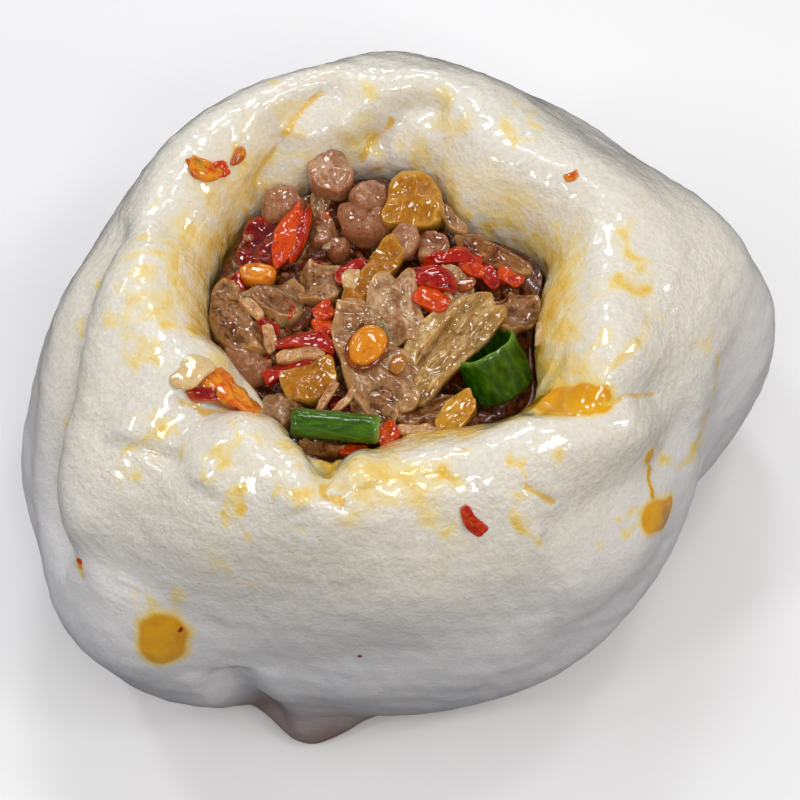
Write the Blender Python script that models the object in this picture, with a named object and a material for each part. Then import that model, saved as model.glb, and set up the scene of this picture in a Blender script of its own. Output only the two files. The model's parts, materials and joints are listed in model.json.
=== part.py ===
"""A steamed bun, 90 mm across, whose top has opened into a round mouth that shows the braised filling.

The skin is one soft solid of steamed dough: a flat foot, a full belly, a thick rolled rim and a pocket
inside. The filling is a second solid that fills the pocket and heaps up in the mouth, with the dice,
slices and chilli bits that show on top of it. Two cut lengths of scallion lie on the filling.

Frame: metres, +Z up, origin under the middle of the bun at its foot, -Y towards the low side of the rim.
Compass angles are in degrees round +Z, 0 at +X and 90 at +Y.
"""

import math

import bmesh
import bpy
import numpy as np
from mathutils import Euler, Matrix

MM = 0.001

# ---- driving sizes ---------------------------------------------------------------------------------
GIRTH = 35.0 * MM  # half the width of the bun before its bulges
HEIGHT = 50.0 * MM  # foot to the crest of the rim
BELLY_HEIGHT = 21.0 * MM  # height of the widest ring
WALL = 12.0 * MM  # dough between the belly and the pocket
FLOOR = 8.0 * MM  # dough under the pocket
MOUTH = 18.6 * MM  # mean radius of the mouth
MOUTH_X, MOUTH_Y = -3.0 * MM, 0.5 * MM  # the mouth's middle lies off the bun's middle
ROLL = 7.5 * MM  # how far the crest of the rim lies outside the mouth
FOOT_SHARE, HEEL_SHARE = 0.70, 0.91  # radius of the flat foot and of the heel, as shares of the belly's
HEEL_HEIGHT = 6.5 * MM
SHOULDER_DROP, BROW_DROP = 13.0 * MM, 3.6 * MM  # below the crest, on the outside
INNER_DROP, LIP_DROP, THROAT_DROP = 2.8 * MM, 9.5 * MM, 18.0 * MM  # below the crest, on the inside
FILLING_HEIGHT = 40.0 * MM  # mean level of the filling
CLEARANCE = 0.5 * MM  # gap kept between separate solids

# Soft bulges: compass angle, width in degrees, how far they stand out.
BELLY_BULGES = (
    (12, 17, 11.2 * MM),
    (43, 14, 3.0 * MM),
    (70, 38, 4.2 * MM),
    (196, 33, 9.6 * MM),
    (225, 18, 8.0 * MM),
    (292, 50, 3.0 * MM),
)
MOUTH_BULGES = (
    (16, 10, 1.6 * MM),
    (48, 17, -4.0 * MM),
    (219, 15, -1.6 * MM),
    (255, 13, 2.8 * MM),
    (286, 12, -0.8 * MM),
    (324, 15, 3.2 * MM),
)

# Stations down the profile of the skin: from the middle of the foot, out round the belly, over the rim
# and down into the pocket. A "way" of 5.5 is half way from the fifth station to the sixth.
FOOT, HEEL, BELLY, SHOULDER, BROW, CREST, INNER, LIP, THROAT, POCKET, BED, HEART = range(1, 13)

TURNS = 84  # columns of the dough mesh
ROWS_PER_SPAN = (1, 3, 4, 4, 3, 4, 4, 3, 2, 2, 1, 2)

# Scallions: middle, axis, size in millimetres, and how oval the section is.
RING = {
    "middle": (10.4, -7.5, 41.0),
    "axis": (-0.41, 0.49, 0.77),
    "radius": 3.6,
    "length": 6.0,
    "wall": 0.8,
    "oval": 1.04,
}
STICK = {
    "middle": (-7.0, -17.1, 44.6),
    "axis": (0.99, -0.1, 0.0),
    "radius": 1.55,
    "length": 9.6,
    "oval": 1.04,
}
TUBE_SIDES = 24

# Filling: radii and columns of its top, and dips in it: x, y, reach, drop.
HEAP_RINGS = tuple(r * MM for r in (4, 8, 12, 16, 20, 24, 40))
HEAP_TURNS = 36
HEAP_FOOT = 1 * MM  # underside of the untrimmed heap
HEAP_DIPS = ((9 * MM, -9 * MM, 7 * MM, 3.0 * MM), (-7 * MM, -18 * MM, 5 * MM, 1.0 * MM))
MERGE = 0.002 * MM  # points closer than this are one

# Foot tab: a tongue of dough that spread out over the floor at the front.
TAB_AT, TAB_WIDTH, TAB_REACH = 253, 10, 8.0 * MM

# Folds: points of the line as (compass, way), half width, depth, and how far the dough on the left of the
# line stands above the dough on its right.
FOLDS = {
    "far_left_pleat": (((134, 7.9), (120, 7.26), (118, 6.86), (110, 6.66), (96, 6.4)), 1.9, 1.1, -0.6),
    "far_pleat": (((94, 7.6), (84, 7.06), (82, 6.86), (67, 6.38)), 1.9, 1.2, 0.3),
    "right_fold": (((321, 7.2), (322, 6.36), (328, 5.56), (342, 4.18)), 2.6, 1.1, 0.0),
    "front_notch": (((257, 7.4), (260, 6.4), (262, 5.7)), 1.8, 1.5, 0.0),
    "left_lobe_edge": (((226, 7.76), (226, 6.6), (224, 5.5), (225, 5.0)), 2.8, 2.0, 0.4),
    "outer_fold": (((164, 5.62), (183, 5.12), (198, 4.5), (208, 3.84), (219, 3.62)), 3.2, 1.7, 1.2),
    "left_valley": (((221, 5.18), (225, 4.64), (227, 3.68)), 4.5, 1.2, 0.0),
    "right_ledge": (((344, 3.86), (328, 3.96), (311, 4.32), (298, 4.36)), 4.5, 1.1, 0.5),
    "foot_notch": (((245, 1.5), (244, 2.4), (242, 3.1)), 2.2, 1.5, 0.0),
}
FOLD_FADE = 0.14  # share of a fold's length over which it dies out at each end
SWELL = 0.35 * MM  # soft unevenness of the skin


def bulge(angle, at, width):
    """1 at the compass angle `at`, fading over `width` degrees on both sides."""
    away = (angle - at + 180) % 360 - 180
    return np.exp(-((away / width) ** 2))


def with_bulges(mean, bulges, angle):
    return mean + sum(height * bulge(angle, at, width) for at, width, height in bulges)


def cubic(a, b, c, d, t):
    """Smooth curve from b to c, with a before and d after them."""
    return 0.5 * (2 * b + (c - a) * t + (2 * a - 5 * b + 4 * c - d) * t**2 + (3 * b - a - 3 * c + d) * t**3)


def fade(x):
    """0 below 0, 1 above 1, and a soft rise between."""
    x = np.clip(x, 0, 1)
    return x * x * (3 - 2 * x)


# ---- the dough -------------------------------------------------------------------------------------
def stations(angle):
    """Radius, height and share of the mouth's offset of each station, at these compass angles."""
    belly = with_bulges(GIRTH, BELLY_BULGES, angle)
    mouth = with_bulges(MOUTH, MOUTH_BULGES, angle)
    crest = mouth + ROLL
    pocket = 0.4 * belly + 0.6 * GIRTH - WALL
    tab = TAB_REACH * bulge(angle, TAB_AT, TAB_WIDTH)
    zero = 0 * angle
    return [
        (zero, 0.0, 0.0),
        (FOOT_SHARE * belly + tab, 0.0, 0.0),
        (HEEL_SHARE * belly + 0.3 * tab, HEEL_HEIGHT, 0.0),
        (belly, BELLY_HEIGHT, 0.1),
        (0.68 * belly + 0.32 * (crest + 5 * MM), HEIGHT - SHOULDER_DROP, 0.35),
        (0.33 * belly + 0.67 * (crest + 2 * MM), HEIGHT - BROW_DROP, 0.7),
        (crest, HEIGHT, 1.0),
        (mouth + 0.38 * ROLL, HEIGHT - INNER_DROP, 1.0),
        (mouth, HEIGHT - LIP_DROP, 1.0),
        (mouth + 1.5 * MM, HEIGHT - THROAT_DROP, 0.8),
        (pocket, BELLY_HEIGHT, 0.3),
        (0.8 * pocket, FLOOR + 1.5 * MM, 0.0),
        (zero, FLOOR, 0.0),
    ]


def skin(angle, way):
    """Points of the smooth skin at these compass angles and ways."""
    angle, way = np.broadcast_arrays(np.asarray(angle, float), np.asarray(way, float))
    rows = stations(angle)
    rows = [(-rows[1][0], *rows[1][1:]), *rows, (-rows[-2][0], *rows[-2][1:])]
    table = np.stack([np.stack(np.broadcast_arrays(r, z, share)) for r, z, share in rows])
    span = np.clip(np.floor(way).astype(int), 0, HEART - 1)
    near = [np.take_along_axis(table, (span + k)[None, None], 0)[0] for k in range(4)]
    r, z, share = cubic(*near, way - span)
    turn = np.radians(angle)
    x = np.maximum(r, 0) * np.cos(turn) + share * MOUTH_X
    y = np.maximum(r, 0) * np.sin(turn) + share * MOUTH_Y
    return np.stack([x, y, np.maximum(z, 0)], -1)


def outward(angle, way):
    """Unit normals of the smooth skin, out of the dough."""
    along = skin(angle, way + 0.02) - skin(angle, way - 0.02)
    around = skin(angle + 0.5, way) - skin(angle - 0.5, way)
    normal = np.cross(around, along)
    return normal / (np.linalg.norm(normal, axis=-1, keepdims=True) + 1e-12)


def smooth_line(points, steps=12):
    """A smooth curve through a fold's points, as rows of (compass, way)."""
    p = np.array([points[0], *points, points[-1]], float)
    s = np.linspace(0, len(points) - 1, steps * (len(points) - 1) + 1)
    i = np.minimum(s.astype(int), len(points) - 2)
    return cubic(p[i], p[i + 1], p[i + 2], p[i + 3], (s - i)[:, None])


def fold_height(points, normals, fold):
    """How far one fold lifts or sinks the skin at these points."""
    path, width, depth, step = fold
    compass, way = smooth_line(path).T
    line = skin(compass, way)
    tangent = np.gradient(line, axis=0)
    tangent /= np.linalg.norm(tangent, axis=1, keepdims=True)
    gap = points[:, None] - line
    nearest = np.argmin((gap**2).sum(-1), axis=1)
    rel = gap[np.arange(len(points)), nearest]
    aim = tangent[nearest]
    ends = (nearest == 0) | (nearest == len(line) - 1)
    along = np.where(ends, 0, (rel * aim).sum(-1))
    away = np.sqrt(np.maximum((rel**2).sum(-1) - along**2, 0)) / (width * MM)
    side = np.sign((np.cross(normals, aim) * rel).sum(-1))
    share = nearest / (len(line) - 1)
    strength = fade(np.minimum(share, 1 - share) / FOLD_FADE)
    valley = -depth * np.exp(-(away**2))
    lips = 0.3 * depth * np.exp(-((away - 2) ** 2))
    ledge = step * side * np.tanh(2 * away) * np.exp(-((away / 3) ** 2))
    return MM * strength * (valley + lips + ledge)


def swell(points):
    """Soft, wide unevenness, as steamed dough has."""
    rng = np.random.default_rng(4)
    total = 0
    for _ in range(7):
        aim = rng.normal(size=3)
        aim *= 2 * math.pi / (rng.uniform(13, 26) * MM * np.linalg.norm(aim))
        total = total + np.sin(points @ aim + rng.uniform(0, 6.3))
    return SWELL * total / 2


def formed_skin(angle, way):
    """The skin with its folds and unevenness, and its normals."""
    points = skin(angle, way)
    normals = outward(angle, way)
    flat, aim = points.reshape(-1, 3), normals.reshape(-1, 3)
    lift = swell(flat) * fade((way.ravel() - FOOT) / 0.7) * fade((THROAT - way.ravel()) / 1.5)
    for fold in FOLDS.values():
        lift = lift + fold_height(flat, aim, fold) * fade((way.ravel() - FOOT) / 0.3)
    points = (flat + aim * lift[:, None]).reshape(points.shape)
    points[..., 2] = np.maximum(points[..., 2], 0)
    return points, normals


def skin_rows():
    """The formed skin as rows of points from the foot's middle to the pocket's floor."""
    spans = [np.linspace(i, i + 1, rows, endpoint=False) for i, rows in enumerate(ROWS_PER_SPAN)]
    way = np.append(np.concatenate(spans), HEART)
    angle = np.arange(TURNS) * 360 / TURNS
    angle, way = np.broadcast_arrays(angle[None], way[:, None])
    points, normals = formed_skin(angle, way)
    return way[:, 0], points, normals


def ringed(name, first, rings, last):
    """A closed solid from rings of points, with a single point at each end."""
    mesh = bmesh.new()
    loops = [[mesh.verts.new(p) for p in ring] for ring in rings]
    count = len(loops[0])
    start, end = mesh.verts.new(first), mesh.verts.new(last)
    for k in range(count):
        n = (k + 1) % count
        mesh.faces.new((start, loops[0][k], loops[0][n]))
        mesh.faces.new((end, loops[-1][n], loops[-1][k]))
        for low, high in zip(loops, loops[1:]):
            mesh.faces.new((low[k], high[k], high[n], low[n]))
    return finish_mesh(name, mesh)


def finish_mesh(name, mesh):
    """A named object from a bmesh, with its faces turned outwards."""
    bmesh.ops.recalc_face_normals(mesh, faces=mesh.faces)
    data = bpy.data.meshes.new(name)
    mesh.to_mesh(data)
    mesh.free()
    obj = bpy.data.objects.new(name, data)
    bpy.context.collection.objects.link(obj)
    return obj


# ---- small pieces ----------------------------------------------------------------------------------
# Kinds: cells along, across and through, how round the outline is, how thin the edge gets, how far the
# piece curls along its length, and how uneven it is. All but the cells are shares of the size.
KINDS = {
    "dice": ((3, 3, 2), 0.7, 0.35, 0.0, 0.10),
    "slab": ((3, 3, 1), 0.5, 0.25, 0.25, 0.06),
    "slice": ((4, 3, 1), 0.7, 0.4, 0.45, 0.08),
    "chilli": ((3, 2, 1), 0.3, 0.1, 0.2, 0.03),
    "pod": ((3, 3, 2), 1.0, 0.6, 0.0, 0.02),
    "stem": ((6, 2, 2), 0.2, 0.2, 0.25, 0.03),
}

# Pieces that show on top of the filling: kind, middle, size and turn about Z, pitch and roll, in
# millimetres and degrees.
PIECES = (
    # diced meat at the far side
    ("dice", (-7.5, 16.5, 43.5), (6.4, 5.3, 5.5), (113, 0, 0)),
    ("dice", (-13.5, 13.5, 42), (4.8, 4.7, 4), (12, 0, 0)),
    ("dice", (-3.5, 16, 42), (5.1, 5.4, 5), (44, 0, 0)),
    ("dice", (-3.5, 11, 42.5), (6.1, 5.2, 5), (-12, 0, 0)),
    ("dice", (-9, 12, 41), (6, 5.7, 5), (17, 0, 0)),
    ("dice", (-9, 2.5, 42), (5.4, 5.1, 4), (-34, 0, 0)),
    ("dice", (-16.5, -5.5, 39.5), (5.1, 4.7, 3.6), (-23, 0, 0)),
    ("dice", (-13, -13, 41), (5.1, 5.4, 3.6), (23, 0, 0)),
    # thick slices of mushroom and bamboo shoot
    ("slab", (2, 13.5, 42), (8.4, 6.9, 2.6), (-44, 0, 20)),
    ("slab", (5.5, 10.5, 42), (4.3, 3.2, 2), (-44, 0, 20)),
    ("slab", (-18, -2, 41), (9.6, 6.1, 2.4), (-63, 0, 10)),
    ("slab", (12, -0.5, 42), (6.5, 5.1, 2.2), (23, 0, 0)),
    # chilli
    ("chilli", (-15.5, 8.5, 41), (6.2, 3.9, 1.4), (73, 0, 0)),
    ("chilli", (-12, 8.5, 43), (7.4, 2.8, 1.3), (71, 10, 0)),
    ("chilli", (-18.5, 3.5, 41), (4.4, 1.6, 1.2), (99, 0, 0)),
    ("chilli", (-11, -6, 42), (6.6, 3.7, 1.8), (6, 0, 10)),
    ("chilli", (-5.5, 4.5, 42), (3.6, 2.7, 1.4), (44, 0, 0)),
    ("chilli", (3.5, 2, 45), (5.4, 3.1, 1.4), (-14, 0, 0)),
    ("chilli", (5.5, 5, 44), (7, 1.9, 1.2), (-12, 0, 0)),
    # seeds and their pods
    ("pod", (-16, 3.5, 42.5), (4.1, 2.9, 2), (-6, 0, 0)),
    ("pod", (-3.5, -7, 45), (4.9, 4.2, 1.6), (54, 0, 5)),
    ("pod", (3, 0, 44), (4.3, 2.5, 2), (-44, 0, 0)),
    ("pod", (12, 4, 42), (5, 2.6, 2), (-12, 0, 0)),
    ("pod", (-1.5, -17, 43), (3, 2.3, 1.6), (-34, 0, 0)),
    # thin slices
    ("slice", (-14, 1, 41.5), (7.6, 6.4, 1.6), (-23, 0, 10)),
    ("slice", (-9, -10, 42.5), (8.8, 5.5, 1.6), (-12, 0, 10)),
    ("slice", (-2, 3.5, 44), (13.8, 3.6, 1.6), (56, 0, 0)),
    ("slice", (0, -1, 44), (10.8, 5, 1.6), (-74, 0, 0)),
    ("slice", (-3.5, -7, 43.5), (10.3, 10.6, 1.6), (-34, 0, 5)),
    ("slice", (6, 0, 43), (7.4, 6.2, 1.5), (39, 0, 0)),
    ("slice", (10, 8, 42), (8.5, 2.8, 1.5), (-21, 0, 20)),
    ("slice", (2.5, -13.5, 41.5), (5.8, 4.6, 1.6), (-23, 0, 0)),
    ("slice", (6, -14, 43), (5.2, 4.1, 1.5), (54, 0, 0)),
    ("slice", (-2, -13.5, 43), (7.7, 5.6, 1.6), (-28, 0, 0)),
    # a long pale stem
    ("stem", (6, -5, 43), (15.8, 4.1, 2.2), (56, 8, 0)),
)

# Bits that stuck to the skin: kind, compass and way, length, width and thickness, and turn about the
# skin's normal.
FLAKES = (
    ("chilli", 146, 6.64, (5.2, 3.4, 1.3), 20),
    ("chilli", 288, 5.02, (3.6, 2.0, 1.2), -60),
    ("chilli", 222, 6.62, (7.0, 4.4, 1.5), -15),
    ("pod", 217, 6.1, (4.6, 4.0, 1.5), 60),
)


def block(name, cells, size, rounding, thin_edge, curl, unevenness, seed):
    """A soft block built on a grid of cells, rounded, thinned at its edge, curled and made uneven."""
    rng = np.random.default_rng(seed)
    mesh = bmesh.new()
    corners = {}
    nx, ny, nz = cells

    def corner(i, j, k):
        if (i, j, k) not in corners:
            u, v, w = 2 * i / nx - 1, 2 * j / ny - 1, 2 * k / nz - 1
            x = u * math.sqrt(1 - rounding * v * v / 2)
            y = v * math.sqrt(1 - rounding * u * u / 2)
            z = w * (1 - thin_edge * max(abs(u), abs(v)) ** 3)
            dx, dy, dz = rng.normal(0, unevenness, 3)
            length, width, thick = size
            sag = curl * width * (0.4 - x * x) / 2
            p = ((x + dx) * length / 2, (y + dy) * width / 2, (z + dz) * thick / 2 + sag)
            corners[i, j, k] = mesh.verts.new(p)
        return corners[i, j, k]

    def side(a, b, place):
        for i in range(a):
            for j in range(b):
                cell = ((i, j), (i + 1, j), (i + 1, j + 1), (i, j + 1))
                mesh.faces.new([corner(*place(*q)) for q in cell])

    for k in (0, nz):
        side(nx, ny, lambda i, j: (i, j, k))
    for j in (0, ny):
        side(nx, nz, lambda i, k: (i, j, k))
    for i in (0, nx):
        side(ny, nz, lambda j, k: (i, j, k))
    return finish_mesh(name, mesh)


def make_piece(kind, place, size, turn, seed):
    """One piece of the filling, in its place."""
    cells, *shape = KINDS[kind]
    obj = block("piece", cells, [s * MM for s in size], *shape, seed)
    about_z, pitch, roll = (math.radians(a) for a in turn)
    spin = Matrix.Rotation(about_z, 4, "Z") @ Euler((roll, -pitch, 0)).to_matrix().to_4x4()
    obj.data.transform(Matrix.Translation([c * MM for c in place]) @ spin)
    return obj


def make_flake(kind, compass, way, size, turn, seed):
    """One bit that lies on the skin, half sunk into it."""
    cells, *shape = KINDS[kind]
    obj = block("flake", cells, [s * MM for s in size], *shape, seed)
    spot, normal = formed_skin(np.array([float(compass)]), np.array([float(way)]))
    side = np.cross((0, 0, 1), normal[0])
    side /= np.linalg.norm(side)
    up = np.cross(normal[0], side)
    frame = Matrix(np.array([side, up, normal[0]]).T.tolist()).to_4x4()
    lay = frame @ Matrix.Rotation(math.radians(turn), 4, "Z")
    obj.data.transform(Matrix.Translation(spot[0]) @ lay)
    return obj


# ---- joining ---------------------------------------------------------------------------------------
def apply_modifiers(obj):
    graph = bpy.context.evaluated_depsgraph_get()
    data = bpy.data.meshes.new_from_object(obj.evaluated_get(graph))
    obj.modifiers.clear()
    obj.data = data


def fuse(obj, pieces):
    """Join the pieces to the object with one union, and remove them."""
    group = bpy.data.collections.new("pieces")
    bpy.context.scene.collection.children.link(group)
    for piece in pieces:
        bpy.context.collection.objects.unlink(piece)
        group.objects.link(piece)
    join = obj.modifiers.new("join", "BOOLEAN")
    join.operation = "UNION"
    join.operand_type = "COLLECTION"
    join.collection = group
    join.solver = "EXACT"
    apply_modifiers(obj)
    for piece in pieces:
        bpy.data.objects.remove(piece)
    bpy.data.collections.remove(group)


def cut(obj, tool, operation):
    """Keep the part of the object inside the tool, or the part outside it, and remove the tool."""
    step = obj.modifiers.new("cut", "BOOLEAN")
    step.operation = operation
    step.object = tool
    step.solver = "MANIFOLD"
    apply_modifiers(obj)
    bpy.data.objects.remove(tool)


def keep_main_body(obj):
    """Drop loose scraps and clean the mesh."""
    mesh = bmesh.new()
    mesh.from_mesh(obj.data)
    bmesh.ops.remove_doubles(mesh, verts=mesh.verts, dist=MERGE)
    bmesh.ops.dissolve_degenerate(mesh, edges=mesh.edges, dist=MERGE)
    bmesh.ops.triangulate(mesh, faces=mesh.faces)
    left = set(mesh.verts)
    bodies = []
    while left:
        body, edge = set(), [next(iter(left))]
        while edge:
            vert = edge.pop()
            if vert in body:
                continue
            body.add(vert)
            edge.extend(e.other_vert(vert) for e in vert.link_edges)
        bodies.append(body)
        left -= body
    main = max(bodies, key=len)
    bmesh.ops.delete(mesh, geom=[v for v in mesh.verts if v not in main], context="VERTS")
    bmesh.ops.recalc_face_normals(mesh, faces=mesh.faces)
    mesh.to_mesh(obj.data)
    mesh.free()


def paint(obj, colour, roughness):
    material = bpy.data.materials.new(obj.name)
    material.use_nodes = True
    shader = material.node_tree.nodes["Principled BSDF"]
    shader.inputs["Base Color"].default_value = (*colour, 1)
    shader.inputs["Roughness"].default_value = roughness
    shader.inputs["Metallic"].default_value = 0
    material.diffuse_color = (*colour, 1)
    obj.data.materials.clear()
    obj.data.materials.append(material)
    for face in obj.data.polygons:
        face.use_smooth = True
    obj.data.set_sharp_from_angle(angle=math.radians(50))


# ---- the nodes -------------------------------------------------------------------------------------
def make_dough():
    """The skin: foot, belly, folds, rolled rim and pocket, with the bits that stuck to it."""
    _, points, _ = skin_rows()
    dough = ringed("dough", points[0, 0], points[1:-1], points[-1, 0])
    fuse(dough, [make_flake(*flake, seed) for seed, flake in enumerate(FLAKES)])
    keep_main_body(dough)
    paint(dough, (0.80, 0.76, 0.70), 0.45)
    return dough


def make_pocket_space():
    """The free space inside the dough, kept a small gap away from it, and open upwards."""
    way, points, normals = skin_rows()
    points = points + normals * CLEARANCE
    inside = points[(way >= CREST) & (way < HEART), ::2]
    top = (MOUTH_X, MOUTH_Y, HEIGHT + 12 * MM)
    return ringed("pocket_space", top, inside, (0, 0, FLOOR + CLEARANCE))


def heap_height(x, y):
    """Level of the filling between the pieces: higher at the far left, lower round the scallions."""
    level = FILLING_HEIGHT - 0.04 * x + 0.05 * y
    for sx, sy, reach, drop in HEAP_DIPS:
        level -= drop * math.exp(-((x - sx) ** 2 + (y - sy) ** 2) / reach**2)
    ripple = math.sin(x / (2.1 * MM)) * math.cos(y / (1.7 * MM)) + math.sin((x + y) / (2.7 * MM))
    return level + 0.5 * MM * ripple


def make_heap():
    """The body of the filling before it is trimmed to the pocket."""
    rings = []
    for radius in HEAP_RINGS:
        ring = []
        for k in range(HEAP_TURNS):
            turn = 2 * math.pi * k / HEAP_TURNS
            x, y = MOUTH_X + radius * math.cos(turn), MOUTH_Y + radius * math.sin(turn)
            ring.append((x, y, heap_height(x, y)))
        rings.append(ring)
    rings.append([(x, y, HEAP_FOOT) for x, y, _ in rings[-1]])
    peak = (MOUTH_X, MOUTH_Y, heap_height(MOUTH_X, MOUTH_Y))
    return ringed("filling", peak, rings, (MOUTH_X, MOUTH_Y, HEAP_FOOT))


def make_filling():
    """Braised meat, mushroom and chilli: one body that fills the pocket, with its top pieces."""
    filling = make_heap()
    fuse(filling, [make_piece(*piece, seed) for seed, piece in enumerate(PIECES)])
    cut(filling, make_pocket_space(), "INTERSECT")
    for tube in (RING, STICK):
        cut(filling, make_rod("room", tube, CLEARANCE), "DIFFERENCE")
    keep_main_body(filling)
    paint(filling, (0.25, 0.12, 0.05), 0.3)
    return filling


def tube_frame(tube):
    """Places the tube's own Z along its axis."""
    axis = np.array(tube["axis"], float)
    axis /= np.linalg.norm(axis)
    side = np.cross((0, 0, 1), axis)
    side /= np.linalg.norm(side)
    frame = Matrix(np.array([side, np.cross(axis, side), axis]).T.tolist()).to_4x4()
    return Matrix.Translation([c * MM for c in tube["middle"]]) @ frame


def tube_ring(tube, radius, z):
    """One ring of a slightly flattened tube."""
    ring = []
    for k in range(TUBE_SIDES):
        turn = 2 * math.pi * k / TUBE_SIDES
        ring.append((radius * tube["oval"] * math.cos(turn), radius / tube["oval"] * math.sin(turn), z))
    return ring


def make_rod(name, tube, grow=0.0):
    """A plain round length with soft ends."""
    radius, half = tube["radius"] * MM + grow, tube["length"] * MM / 2 + grow
    soft = 0.12 * radius
    rings = [
        tube_ring(tube, radius - soft, -half),
        tube_ring(tube, radius, -half + soft),
        tube_ring(tube, radius, half - soft),
        tube_ring(tube, radius - soft, half),
    ]
    obj = ringed(name, (0, 0, -half), rings, (0, 0, half))
    obj.data.transform(tube_frame(tube))
    return obj


def make_tube(name, tube):
    """A short hollow length, cut square at both ends."""
    radius, half = tube["radius"] * MM, tube["length"] * MM / 2
    inner = radius - tube["wall"] * MM
    soft = 0.08 * radius
    loop = [
        tube_ring(tube, inner, -half),
        tube_ring(tube, radius - soft, -half),
        tube_ring(tube, radius, -half + soft),
        tube_ring(tube, radius, half - soft),
        tube_ring(tube, radius - soft, half),
        tube_ring(tube, inner, half),
    ]
    mesh = bmesh.new()
    rings = [[mesh.verts.new(p) for p in ring] for ring in loop]
    for low, high in zip(rings, rings[1:] + rings[:1]):
        for k in range(TUBE_SIDES):
            n = (k + 1) % TUBE_SIDES
            mesh.faces.new((low[k], high[k], high[n], low[n]))
    obj = finish_mesh(name, mesh)
    obj.data.transform(tube_frame(tube))
    return obj


def centre_on_foot(objects):
    """Move everything so that the dough stands over the origin."""
    corners = np.array([v.co for v in objects[0].data.vertices])
    middle = (corners.min(0) + corners.max(0)) / 2
    for obj in objects:
        obj.data.transform(Matrix.Translation((-middle[0], -middle[1], 0)))


def main():
    for obj in list(bpy.data.objects):
        bpy.data.objects.remove(obj)
    dough = make_dough()
    filling = make_filling()
    ring = make_tube("scallion_ring", RING)
    stick = make_rod("scallion_stick", STICK)
    for scallion in (ring, stick):
        paint(scallion, (0.06, 0.22, 0.02), 0.3)
    centre_on_foot([dough, filling, ring, stick])


if __name__ == "__main__":
    main()
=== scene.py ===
"""Looks of the steamed bun: an oily, freshly opened top, braised filling and two cut lengths of scallion.

Frame: metres, +Z up, origin under the middle of the bun at its foot, -Y towards the low side of the rim.
Compass angles are in degrees round +Z, 0 at +X and 90 at +Y.
"""

import math

import bpy
import numpy as np
from mathutils import Matrix, Vector
from mathutils.bvhtree import BVHTree
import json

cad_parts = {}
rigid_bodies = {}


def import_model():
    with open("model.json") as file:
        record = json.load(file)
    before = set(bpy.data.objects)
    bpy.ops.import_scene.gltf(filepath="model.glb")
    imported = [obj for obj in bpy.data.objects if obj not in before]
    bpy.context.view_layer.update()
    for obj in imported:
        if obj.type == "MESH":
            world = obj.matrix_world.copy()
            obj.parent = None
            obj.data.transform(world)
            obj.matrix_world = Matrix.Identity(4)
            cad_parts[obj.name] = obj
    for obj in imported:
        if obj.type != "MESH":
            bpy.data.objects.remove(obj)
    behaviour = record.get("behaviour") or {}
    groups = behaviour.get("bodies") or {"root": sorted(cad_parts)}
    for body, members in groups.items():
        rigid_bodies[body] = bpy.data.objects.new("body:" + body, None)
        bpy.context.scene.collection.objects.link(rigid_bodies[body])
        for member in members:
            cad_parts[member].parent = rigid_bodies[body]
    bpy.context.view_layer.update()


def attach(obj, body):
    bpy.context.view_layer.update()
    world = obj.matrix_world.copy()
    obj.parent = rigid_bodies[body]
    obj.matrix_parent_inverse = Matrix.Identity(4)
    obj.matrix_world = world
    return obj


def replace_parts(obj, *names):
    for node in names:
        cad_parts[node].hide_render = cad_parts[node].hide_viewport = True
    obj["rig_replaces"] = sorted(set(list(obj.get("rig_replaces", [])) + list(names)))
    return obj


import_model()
MM = 0.001
ANY_TURN = 6.3  # radians, just over a full turn

# ---- the dough ----
# One skin of steamed wheat dough: flat foot, full belly, rolled rim and the pocket inside. It is shaped by
# hand, so it has pleats, folds and soft bulges, and steaming leaves it finely wrinkled all over.
GIRTH = 35.0 * MM  # radius of the belly before its bulges
HEIGHT = 50.0 * MM
BELLY_HEIGHT = 21.0 * MM
WALL = 12.0 * MM  # dough between the belly and the pocket
FLOOR = 8.0 * MM
MOUTH = 18.6 * MM  # radius of the mouth before its bulges
MOUTH_X, MOUTH_Y = -3.0 * MM, 0.5 * MM
ROLL = 7.5 * MM  # from the mouth's edge out to the crest of the rolled rim
FOOT_SHARE, HEEL_SHARE = 0.7, 0.91
HEEL_HEIGHT = 6.5 * MM
SHOULDER_DROP, BROW_DROP = 13.0 * MM, 3.6 * MM
INNER_DROP, LIP_DROP, THROAT_DROP = 2.8 * MM, 9.5 * MM, 18.0 * MM
SHIFT = np.array((-0.42, -0.6, 0)) * MM  # from the skin's own middle to the row's origin
# Bulges: compass, width in degrees, and how far they stand out.
BELLY_BULGES = (
    (12, 17, 11.2 * MM),
    (43, 14, 3.0 * MM),
    (70, 38, 4.2 * MM),
    (196, 33, 9.6 * MM),
    (225, 18, 8.0 * MM),
    (292, 50, 3.0 * MM),
)
MOUTH_BULGES = (
    (16, 10, 1.6 * MM),
    (48, 17, -4.0 * MM),
    (219, 15, -1.6 * MM),
    (255, 13, 2.8 * MM),
    (286, 12, -0.8 * MM),
    (324, 15, 3.2 * MM),
)
# Stations of the skin's profile, from 0 under the middle: foot 1, heel, belly 3, shoulder, brow, crest 6,
# inner side of the rim, lip, throat 9, pocket 10, bed and heart 12.
FOOT, BELLY, CREST, THROAT, POCKET, HEART = 1, 3, 6, 9, 10, 12
TAB_AT, TAB_WIDTH, TAB_REACH = 253, 10, 8.0 * MM

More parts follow.
